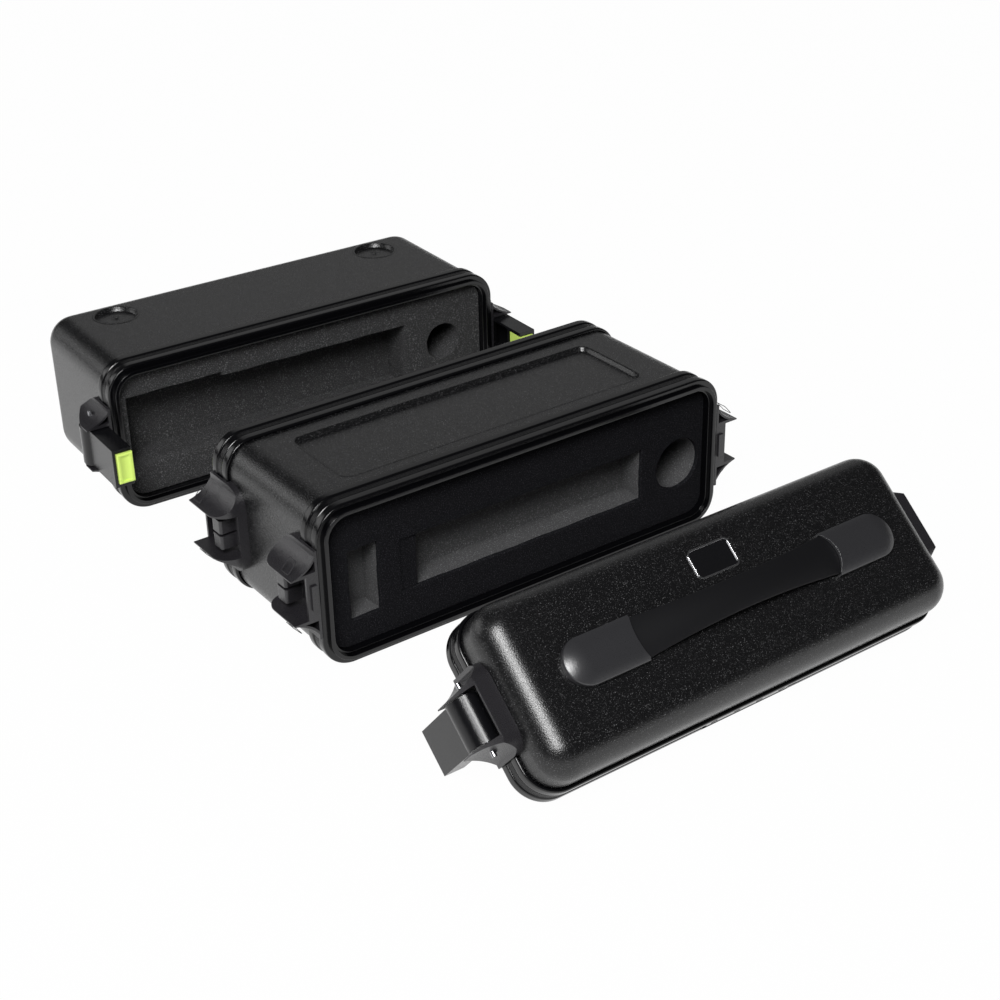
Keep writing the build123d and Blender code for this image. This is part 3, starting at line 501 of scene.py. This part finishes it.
def joined_up(*grids):
    """One set of points and faces from several, each given as (points, faces)."""
    first = np.cumsum([0] + [len(points) for points, faces in grids[:-1]])
    return (np.concatenate([points for points, faces in grids]),
            np.concatenate([faces + n for (points, faces), n in zip(grids, first)]))


across = lines_at(-HALF_RUN, HALF_RUN, 8,
                  *[x + np.arange(-19.2, 19.3, CUP_STEP) for x in CUPS]) / HALF_RUN
along = lines_at(SEAT, REAR_DEPTH - REAR_EDGE, 8, np.arange(CUP_PLACE - 19, CUP_PLACE + 17, CUP_STEP))
run = np.linspace(1, -1, 9)
loops, outer_rows, face = drawn_box(REAR_DEPTH, REAR_EDGE, along, across, run)
top = loops[outer_rows.start:outer_rows.stop + 4, :len(across)]
for cup in CUPS:
    within = np.hypot(top[..., 0] - cup, top[..., 1] - CUP_PLACE) < CUP_MOUTH
    top[..., 2] -= np.where(within, CUP_UNDER, 0)
points, faces = joined_up(as_grid(loops, False, True), as_grid(face))
finished("rear_shell_moulding", stood(points, "rear"), faces, "rear_section", "shell",
         "rear_shell", look=shell_look)

around = np.radians(np.arange(0, 360, 4))
for cup, name in zip(CUPS, ("left", "right")):
    radius, height = CUP_PROFILE[:, :1], CUP_PROFILE[:, 1:]
    points, faces = as_grid(np.stack(np.broadcast_arrays(
        cup + radius * np.cos(around), CUP_PLACE + radius * np.sin(around), HEIGHT - SETBACK + height), -1),
        False, True)
    finished(f"stacking_cup_{name}", stood(points, "rear"), faces, "rear_section", "shell",
             look=shell_look, sharp=50)


# Lid shell
# Shallow drawing of the same sheet with larger edges; a seat for the badge is
# sunk into its face, near the upper edge.

LID_DEPTH, LID_EDGE = 52.5, 19.0
BADGE_PLACE, BADGE_HALF, BADGE_CORNER = (-1.5, 87.5), (16.9, 10.15), 3.9
BADGE_SUNK, BADGE_RIM, BADGE_SEAT_SLOPE = 1.4, 1.2, 0.5
BADGE_DIP, BADGE_DIP_WIDE, BADGE_DIP_SLOPE = 0.35, 2.4, 2.0

across = lines_near(-HALF_RUN, HALF_RUN, 7, (-18.7, 15.7), 4.5, 0.5) / HALF_RUN
run = lines_near(CORNER, HEIGHT - CORNER, 7, (77, 96.9), 4.5, 0.5)[::-1]
run = (run - HEIGHT / 2) / (HEIGHT / 2 - CORNER)
along = lines_at(SEAT, LID_DEPTH - LID_EDGE, 6)
loops, outer_rows, face = drawn_box(LID_DEPTH, LID_EDGE, along, across, run)
seat_half = np.array(BADGE_HALF) - BADGE_RIM / 2
face[..., 1] -= BADGE_SUNK * inside_panel(
    face[..., 0], face[..., 2], BADGE_PLACE, seat_half, BADGE_CORNER - BADGE_RIM / 2, BADGE_SEAT_SLOPE)
dip_half = np.array(BADGE_HALF) + BADGE_DIP_WIDE
dip = BADGE_DIP * inside_panel(
    face[..., 0], face[..., 2], BADGE_PLACE, dip_half, BADGE_CORNER + BADGE_DIP_WIDE, BADGE_DIP_SLOPE)
face[..., 1] -= dip * (face[..., 1] > LID_DEPTH - BADGE_SUNK / 2)
points, faces = joined_up(as_grid(loops, False, True), as_grid(face))
finished("lid_shell_moulding", stood(points, "lid"), faces, "lid", "shell", "lid_shell",
         look=shell_look)


# Gaskets
# Soft closed-cell rubber cord, flat with eased corners, pressed into the bottom
# of each valance's groove.

gasket_look = grained("gasket_rubber", (0.012, 0.012, 0.012), 0.4, (0.5, 0.7), 3000, 0.2, 0.0002)

gasket_path = eased([(3.9, 3.4), (7.5, 3.4), (7.5, 5), (3.9, 5)], 0.7, 4, closed=True)
stops = stations(np.array([-1, 1]), np.array([1, -1]), 2, 14)
for name, section, body in (("middle_rear_gasket", "middle_back", "middle"), ("lid_gasket", "lid", "lid")):
    points, faces = as_grid(carried_round(gasket_path, stops), True, True)
    finished(name + "_cord", stood(points, section), faces, body, "gasket", name, look=gasket_look)


# Foam inserts
# Charcoal open-cell polyethylene foam cut to fill each section, its pockets cut
# straight in with a knife edge; the middle one is paler and has a thin black
# facing glued on.

FOAM_INSET, FOAM_FACE, FACING = 9.4, 5.5, 3.0
WALL_LINES = np.array([-0.6, -0.15, 0, 0.2, 0.4, 0.9])
HOLE_RINGS = np.array([-1.9, -1.2, -0.5, -0.15, 0, 0.2, 0.4, 0.9])
FOAM_HALF, FOAM_LOW = LENGTH / 2 - FOAM_INSET, FOAM_INSET
FOAM_HIGH, FOAM_CORNER = HEIGHT - FOAM_INSET, CORNER - FOAM_INSET
KNIFE_REACH = (-155.5, 155.5, 14, 106)
HOLE_PATCH, HOLE_ROUND = 2.5, 1.9


def foam_material(name, base, glint_colour):
    """Cut open-cell foam: fine pits, and small cell walls that catch the light, their glints painted as pale
    flecks in its colour.
    """
    look, tree, _ = material(name, base, 0.95, 0.0)
    place, _ = grain(tree, 1500, 0.9, 0.0006)
    with_painted_glints(tree, place, base, glint_colour, 1300, 0.55, 0.72)
    return look


# Each foam's second colour is its pale flecks, painted glints of the cut cells.
foam_look = foam_material("charcoal_cut_foam", (0.05, 0.05, 0.051), (0.2, 0.2, 0.205))
light_foam_look = foam_material("fresh_cut_foam", (0.084, 0.084, 0.086), (0.225, 0.225, 0.23))
facing_look = foam_material("black_foam_facing", (0.0115, 0.0115, 0.0132), (0.052, 0.052, 0.058))


def both_ways(centre, rings):
    """Lines on both sides of a centre at every ring's radius."""
    return np.concatenate([centre - rings, centre + rings])


def ringed(x, y, centre, half, reach):
    """Grid points inside a square patch, drawn in so that its inner squares become circles;
    returns them with each point's radius, which outside the patch is at least its half."""
    u, v = (x - centre[0]) / half, (y - centre[1]) / half
    square = np.maximum(np.abs(u), np.abs(v))
    circle = square / np.maximum(np.hypot(u, v), 1e-9)
    blend = np.clip((1 - square) / (1 - reach / half), 0, 1)
    factor = np.where(square < 1, 1 + blend * (circle - 1), 1)
    return centre[0] + half * u * factor, centre[1] + half * v * factor, half * square


def in_rectangle(x, z, left, right, bottom, top):
    """Distance inside a rectangular pocket's edge, negative outside."""
    return np.minimum.reduce([x - left, right - x, z - bottom, top - z])


def cut_down(inside, depth, skin):
    """How far the surface lies below the face: straight down at the pocket's edge, with a
    stop where the skin ends."""
    return np.interp(inside, [-0.6, -0.15, 0, 0.2, 0.4], [0, 0.05, 0.25, skin, depth])


def foam_outline(x, z):
    """Grid points of the rectangle with its corners rounded: the squares at the corners
    are drawn in to quarter circles."""
    u = (np.abs(x) - (FOAM_HALF - FOAM_CORNER)) / FOAM_CORNER
    w = (np.abs(z - HEIGHT / 2) - (HEIGHT / 2 - FOAM_INSET - FOAM_CORNER)) / FOAM_CORNER
    corner = (u > 0) & (w > 0)
    factor = np.where(corner, np.maximum(u, w) / np.maximum(np.hypot(u, w), 1e-9), 1)
    x = np.where(corner, np.sign(x) * (FOAM_HALF - FOAM_CORNER + u * factor * FOAM_CORNER), x)
    z = np.where(corner, HEIGHT / 2 + np.sign(z - HEIGHT / 2) * (
        HEIGHT / 2 - FOAM_INSET - FOAM_CORNER + w * factor * FOAM_CORNER), z)
    return x, z


def wavered(x, z):
    """Grid points moved as an unsteady knife cuts: each way by a long and a short sine of
    0.12 to 0.25 mm, fading out over the last 4 mm before the block's edge."""
    fade = np.clip(in_rectangle(x, z, *KNIFE_REACH) / 4, 0, 1)
    return (x + fade * (0.22 * np.sin(z / 5.3 + 1) + 0.12 * np.sin(z / 1.9)),
            z + fade * (0.25 * np.sin(x / 7.1) + 0.12 * np.sin(x / 2.3 + 2)))


def foam_insert(name, section, body, xs, zs, hole, hole_radius, sunk, back, *replaced, look=foam_look):
    """Closed block of foam whose front is a grid sunk into pockets: sunk gives the depth at
    (x, z, distance inside the round hole). Returns the piece."""
    x, z = np.meshgrid(xs, zs)
    x, z = foam_outline(x, z)
    inside = np.full_like(x, -9.0)
    if hole:
        x, z, radius = ringed(x, z, hole, hole_radius + HOLE_PATCH, hole_radius + HOLE_ROUND)
        inside = hole_radius - radius
    cut_x, cut_z = wavered(x, z)
    front = np.stack([cut_x, FOAM_FACE + sunk(x, z, inside), cut_z], -1)
    behind = np.stack([x, np.full_like(x, back), z], -1)
    edges = [np.concatenate([g[0, :-1], g[:-1, -1], g[-1, :0:-1], g[:0:-1, 0]]) for g in (front, behind)]
    points, faces = joined_up(as_grid(front), as_grid(behind), as_grid(np.stack(edges), False, True))
    piece = finished(name, stood(points, section), faces, body, "foam", *replaced, look=look)
    return piece


LONG_SLOT, LONG_SLOT_DEEP = (-91.5, 103, 35.5, 76), 22
PACK_SLOT, PACK_SLOT_DEEP = (-145, -121.5, 28, 81), 20
FACING_STEP, FACING_STEP_DEEP = (-105, -91, 35.5, 76), 1.5
MICROPHONE_HOLE, MICROPHONE_RADIUS, MICROPHONE_DEEP = (137, 54), 20.0, 70


def middle_pockets(x, z, inside):
    """Depth below the middle insert's face."""
    return np.maximum.reduce([
        cut_down(in_rectangle(x, z, *LONG_SLOT), LONG_SLOT_DEEP, FACING),
        cut_down(in_rectangle(x, z, *PACK_SLOT), PACK_SLOT_DEEP, FACING),
        np.interp(in_rectangle(x, z, *FACING_STEP), [0, 0.2], [0, FACING_STEP_DEEP]),
        cut_down(inside, MICROPHONE_DEEP, FACING)])


def face_front(mesh, look, behind):
    """A second material on the faces that lie wholly in front of a plane across Y."""
    mesh.materials.append(look)
    coordinates, corner_points = np.empty(len(mesh.vertices) * 3), np.empty(len(mesh.loops), np.int32)
    first_corners = np.empty(len(mesh.polygons), np.int32)
    mesh.vertices.foreach_get("co", coordinates)
    mesh.loops.foreach_get("vertex_index", corner_points)
    mesh.polygons.foreach_get("loop_start", first_corners)
    deepest = np.maximum.reduceat(coordinates[3 * corner_points + 1], first_corners)
    mesh.polygons.foreach_set("material_index", (deepest < behind).astype(np.int32))


def edge_lines(*edges):
    """Lines at a pocket's walls: each edge as (place, 1 or -1 for the side that is open)."""
    return np.concatenate([place + side * WALL_LINES for place, side in edges])


corner_lines = FOAM_CORNER * np.linspace(0, 1, 6)
patch_edges = [115, 159.5]
xs = lines_at(-FOAM_HALF, FOAM_HALF, 6, corner_lines - FOAM_HALF, FOAM_HALF - corner_lines,
              edge_lines((PACK_SLOT[0], 1), (PACK_SLOT[1], -1), (FACING_STEP[0], 1),
                         (LONG_SLOT[0], 1), (LONG_SLOT[1], -1)),
              both_ways(MICROPHONE_HOLE[0], MICROPHONE_RADIUS - HOLE_RINGS), patch_edges)
zs = lines_at(FOAM_LOW, FOAM_HIGH, 6, FOAM_LOW + corner_lines, FOAM_HIGH - corner_lines,
              edge_lines((PACK_SLOT[2], 1), (LONG_SLOT[2], 1), (LONG_SLOT[3], -1), (PACK_SLOT[3], -1)),
              both_ways(MICROPHONE_HOLE[1], MICROPHONE_RADIUS - HOLE_RINGS))
middle_insert = foam_insert(
    "middle_foam_insert", "middle", "middle", xs, zs, MICROPHONE_HOLE, MICROPHONE_RADIUS, middle_pockets,
    MIDDLE_DEPTH - FOAM_FACE, "middle_foam", "middle_foam_facing", look=light_foam_look)
face_front(middle_insert.data, facing_look, (FOAM_FACE + FACING + TO_ROW_FRAME[1] + 0.05) / 1000)

BAY, BAY_DEEP, BAY_STOP = ((-155, -75, 34, 92), (-76, 89, 34, 89)), 30, 10
SPARE_HOLE, SPARE_RADIUS, SPARE_DEEP, SPARE_STOP = (124.5, 66), 15.5, 60, 20
REAR_FOAM_ENDS, LID_FOAM_ENDS = REAR_DEPTH - 25, LID_DEPTH - 22


def rear_pockets(x, z, inside):
    """Depth below the rear insert's face."""
    bay = np.maximum(in_rectangle(x, z, *BAY[0]), in_rectangle(x, z, *BAY[1]))
    return np.maximum(cut_down(bay, BAY_DEEP, BAY_STOP), cut_down(inside, SPARE_DEEP, SPARE_STOP))


xs = lines_at(-FOAM_HALF, FOAM_HALF, 6, corner_lines - FOAM_HALF, FOAM_HALF - corner_lines,
              edge_lines((BAY[0][0], 1), (BAY[0][1], -1), (BAY[1][1], -1)),
              both_ways(SPARE_HOLE[0], SPARE_RADIUS - HOLE_RINGS))
zs = lines_at(FOAM_LOW, FOAM_HIGH, 6, FOAM_LOW + corner_lines, FOAM_HIGH - corner_lines,
              edge_lines((BAY[0][2], 1), (BAY[0][3], -1), (BAY[1][3], -1)),
              both_ways(SPARE_HOLE[1], SPARE_RADIUS - HOLE_RINGS))
foam_insert("rear_foam_insert", "rear", "rear_section", xs, zs, SPARE_HOLE, SPARE_RADIUS, rear_pockets,
            REAR_FOAM_ENDS, "rear_foam")

plain = lines_at(-FOAM_HALF, FOAM_HALF, 8, corner_lines - FOAM_HALF, FOAM_HALF - corner_lines)
upright = lines_at(FOAM_LOW, FOAM_HIGH, 8, FOAM_LOW + corner_lines, FOAM_HIGH - corner_lines)
foam_insert("lid_foam_insert", "lid", "lid", plain, upright, None, 0, lambda x, z, inside: 0 * x,
            LID_FOAM_ENDS, "lid_foam")


# Keepers, latches, levers and triggers
# Glass-filled nylon mouldings with fine eased edges; the trigger is a lime green
# push in the lever's tip, and a polished pin runs through each latch's cheeks.

mould_look = grained("matte_charcoal_nylon", (0.018, 0.017, 0.0195), 0.65, (0.22, 0.34),
                     2800, 0.25, 0.00025)
lever_look = grained("satin_charcoal_lever", (0.0055, 0.0055, 0.0065), 0.42, (0.15, 0.25),
                     2800, 0.2, 0.0002)
trigger_look = grained("lime_green_push", (0.76, 1.0, 0.205), 0.5, (0.34, 0.5), 2800, 0.12, 0.0002)
pin_look = grained("polished_steel_pin", (0.34, 0.34, 0.355), 0.5, (0.12, 0.26),
                   4000, 0.08, 0.0001, metallic=1)


def eased_copy(node, body, look, width):
    """Copy of a CAD node's mesh, its doubled points joined and flat parts made whole, with
    every edge sharper than 30 degrees rounded over."""
    mesh = nodes[node].data.copy()
    shape = bmesh.new()
    shape.from_mesh(mesh)
    bmesh.ops.remove_doubles(shape, verts=shape.verts, dist=2e-6)
    bmesh.ops.dissolve_limit(shape, angle_limit=np.radians(0.6), verts=shape.verts, edges=shape.edges)
    shape.to_mesh(mesh)
    shape.free()
    mesh.polygons.foreach_set("use_smooth", np.full(len(mesh.polygons), True))
    mesh.materials.clear()
    mesh.materials.append(look)
    piece = bpy.data.objects.new(node + "_moulding", mesh)
    bpy.context.scene.collection.objects.link(piece)
    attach(piece, body)
    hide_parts(node)
    bevel = piece.modifiers.new("eased_edges", "BEVEL")
    bevel.width = width
    bevel.segments = 2
    bevel.limit_method = "ANGLE"
    bevel.angle_limit = np.radians(30)
    bevel.harden_normals = True
    piece.modifiers.new("even_shading", "WEIGHTED_NORMAL").keep_sharp = True
    return piece


for side in ("left", "right"):
    for end in ("front", "rear"):
        eased_copy(f"keeper_{end}_{side}", "middle", mould_look, 0.0005)
    for section, body in (("rear", "rear_section"), ("lid", "lid")):
        eased_copy(f"{section}_latch_base_{side}", body, mould_look, 0.0005)
        eased_copy(f"{section}_lever_{side}", f"{section}_lever_{side}", lever_look, 0.0006)
        eased_copy(f"{section}_trigger_{side}", f"{section}_trigger_{side}", trigger_look, 0.0004)


# Keeper windows
# A fine raised rim round a shallow window panel in each keeper cheek, near its
# outer edge; only the rim is drawn here.

FOOT, TIP, BOW = np.array([0, 32.6]), np.array([20, 17.0]), 3.0
WINDOW_NEAR, WINDOW_FAR, WINDOW_LOW, WINDOW_HIGH = 5.8, 14.3, 0.51, 0.89
WINDOW_CORNER, WINDOW_RIM, CHEEK_ARC = 1.1, 0.3, 26.3


def on_cheek(distance, share, proud):
    """Points of a keeper cheek's curved side in the section's frame: distance along the
    case's depth, share of the arc that bows from its foot to its tip, raised along its
    normal."""
    chord = TIP - FOOT
    length = np.hypot(*chord)
    normal = np.array([-chord[1], chord[0]]) / length
    radius = (length ** 2 / 4 + BOW ** 2) / (2 * BOW)
    centre = (FOOT + TIP) / 2 + normal * (BOW - radius)
    angle = np.arctan2(normal[1], normal[0]) + np.arcsin(length / 2 / radius) * (1 - 2 * share)
    out = centre[0] + (radius + proud) * np.cos(angle)
    height = centre[1] + (radius + proud) * np.sin(angle)
    return np.stack([LENGTH / 2 + out, distance, HEIGHT / 2 + height], -1)


window_half = np.array([(WINDOW_FAR - WINDOW_NEAR) / 2, (WINDOW_HIGH - WINDOW_LOW) / 2 * CHEEK_ARC])
turn = np.radians(np.arange(0, 360, 15))
quarter = np.sign(np.round(np.stack([np.cos(turn + 0.01), np.sin(turn + 0.01)], -1), 6))
rim_line = quarter * (window_half - WINDOW_CORNER)
rim_facing = np.stack([np.cos(turn), np.sin(turn)], -1)
rim_path = np.array([(-WINDOW_RIM, -0.05), (-WINDOW_RIM * 0.6, 0.22), (0, 0.3), (WINDOW_RIM * 0.6, 0.22),
                     (WINDOW_RIM, -0.05), (0, -0.2)])
spots = rim_line[None] + rim_facing[None] * (WINDOW_CORNER + rim_path[:, None, :1])
rim = on_cheek((WINDOW_NEAR + WINDOW_FAR) / 2 + spots[..., 0],
               (WINDOW_LOW + WINDOW_HIGH) / 2 + spots[..., 1] / CHEEK_ARC,
               np.broadcast_to(rim_path[:, None, 1], spots.shape[:2]))
rim, rim_faces = as_grid(rim, True, True)
below = rim * [1, 1, -1] + [0, 0, HEIGHT]
points, faces = joined_up((rim, rim_faces), (below, rim_faces))
for edge, section in (("front", "middle"), ("rear", "middle_back")):
    for side, mirrored in (("right", [1, 1, 1]), ("left", [-1, 1, 1])):
        finished(f"keeper_{edge}_{side}_windows", stood(points * mirrored, section), faces, "middle",
                 "latch", look=mould_look)


# Pins, rivets and screws
# Plated steel pins pressed through the latches' cheeks, blackened rivets in
# every moulding's foot, and plated screws in the feet.

rivet_look = grained("blackened_steel_rivet", (0.012, 0.012, 0.013), 0.4, (0.26, 0.42),
                     3500, 0.12, 0.0001)
for section, body in (("rear", "rear_section"), ("lid", "lid")):
    eased_copy(f"{section}_latch_pins", body, pin_look, 0.0003)
    eased_copy(f"{section}_latch_rivets", body, rivet_look, 0.0003)
    eased_copy(f"{section}_splice_rivets", body, rivet_look, 0.0001)
eased_copy("middle_keeper_rivets", "middle", rivet_look, 0.0003)
eased_copy("middle_splice_rivets", "middle", rivet_look, 0.0001)
eased_copy("rear_foot_screws", "rear_section", pin_look, 0.0002)


# Splice plates
# Thin bare aluminium plates with slanted ends, riveted over the joint of each
# valance on its resting side.

plate_look = grained("bare_aluminium_plate", (0.4, 0.4, 0.4), 0.5, (0.28, 0.44),
                     2200, 0.1, 0.0001, metallic=1)
for node, body in (("middle_splice_front", "middle"), ("middle_splice_rear", "middle"),
                   ("rear_splice", "rear_section"), ("lid_splice", "lid")):
    eased_copy(node, body, plate_look, 0.00015)


# Feet
# Turned rubber pads under the rear section, with a chamfered lower edge, each
# held by the screw in its middle.

foot_look = grained("black_foot_rubber", (0.014, 0.014, 0.014), 0.35, (0.54, 0.72), 1800, 0.3, 0.0003)
for side in ("left", "right"):
    eased_copy(f"rear_foot_{side}", "rear_section", foot_look, 0.0003)


# Strap handle
# Moulded rubber strap, crowned on top and thin at its edges, narrowed and bowed
# in its middle; its rounded ends slide in the caps.

STRAP_OFFSET, STRAP_HALF_SPAN, STRAP_TAIL = -1.5, 79.0, 42.0
STRAP_WIDE, STRAP_WAIST, STRAP_THICK, STRAP_EDGE = 13.8, 10.5, 4.0, 1.8
STRAP_FLOOR, STRAP_BOW, STRAP_END_RADIUS = 1.1, 5.9, 11.8

strap_look = grained("smooth_strap_rubber", (0.005, 0.005, 0.006), 0.3, (0.42, 0.6), 2400, 0.2, 0.0002)


def strap_half(name, side, *replaced):
    """Half of the strap from its middle to one end: a crowned section whose half width
    runs as a parabola from waist to end, on a bow, a parabola to the power 1.25, that
    flattens out inside the cap."""
    end = STRAP_HALF_SPAN + STRAP_TAIL
    rounding = end - STRAP_END_RADIUS + STRAP_END_RADIUS * np.sin(np.radians(np.arange(10, 91, 10)))
    x = np.concatenate([
        np.linspace(0, 80, 41), np.linspace(82, end - STRAP_END_RADIUS, 10), rounding])
    beyond = np.clip((x - end + STRAP_END_RADIUS) / STRAP_END_RADIUS, 0, 1)
    half = STRAP_WIDE - (STRAP_WIDE - STRAP_WAIST) * np.clip(1 - (x / STRAP_HALF_SPAN) ** 2, 0, 1)
    half = half - STRAP_END_RADIUS * (1 - np.sqrt(1 - beyond ** 2))
    low = STRAP_FLOOR + STRAP_BOW * np.clip(1 - (x / (STRAP_HALF_SPAN + 3)) ** 2, 0, 1) ** 1.25
    share = np.linspace(0.9, -0.9, 13)
    crown = STRAP_EDGE + (STRAP_THICK - STRAP_EDGE) * (1 - share ** 2)
    corners = np.concatenate([
        [(-STRAP_WIDE, 0), (STRAP_WIDE, 0), (STRAP_WIDE, STRAP_EDGE)],
        np.stack([STRAP_WIDE * share, crown], -1), [(-STRAP_WIDE, STRAP_EDGE)]])
    ring = eased(corners, 0.55, 3, closed=True)
    across = ring[None, :, 0] * (half / STRAP_WIDE)[:, None]
    out = low[:, None] + ring[None, :, 1]
    along = np.broadcast_to(side * x[:, None], out.shape)
    grid = np.stack([STRAP_OFFSET + along, LID_DEPTH + out, HEIGHT / 2 + across], -1)
    closed = np.concatenate([
        np.broadcast_to(grid[:1].mean(1, keepdims=True), grid[:1].shape), grid,
        np.broadcast_to(grid[-1:].mean(1, keepdims=True), grid[:1].shape)])
    points, faces = as_grid(closed, False, True)
    piece = finished(name, stood(points, "lid"), faces, None, "rubber", *replaced, look=strap_look)
    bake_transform(piece)
    return piece


strap_half("strap_left_half", 1, "strap_grip", "strap_tail_left")
strap_half("strap_right_half", -1, "strap_tail_right")


# Strap caps
# Domed caps of smooth charcoal plastic with an arched mouth, fixed to the lid's
# face over the strap's ends.

cap_look = grained("charcoal_cap", (0.026, 0.026, 0.0285), 0.85, (0.26, 0.36), 2000, 0.2, 0.0002)
for side in ("left", "right"):
    eased_copy(f"strap_cap_{side}", "lid", cap_look, 0.0003)


# Badge
# Bright metal rim pressed into its seat in the lid's face, round a bare plate of
# gloss black plastic.

rim_look = grained("bright_badge_rim", (0.72, 0.72, 0.74), 0.5, (0.12, 0.24),
                   5000, 0.05, 0.0001, metallic=1)
eased_copy("badge_rim", "lid", rim_look, 0.0002)
badge_look = grained("gloss_black_plate", (0.006, 0.006, 0.007), 0.5, (0.06, 0.12), 1200, 0.02, 0.0001)
eased_copy("badge_plate", "lid", badge_look, 0.0001)
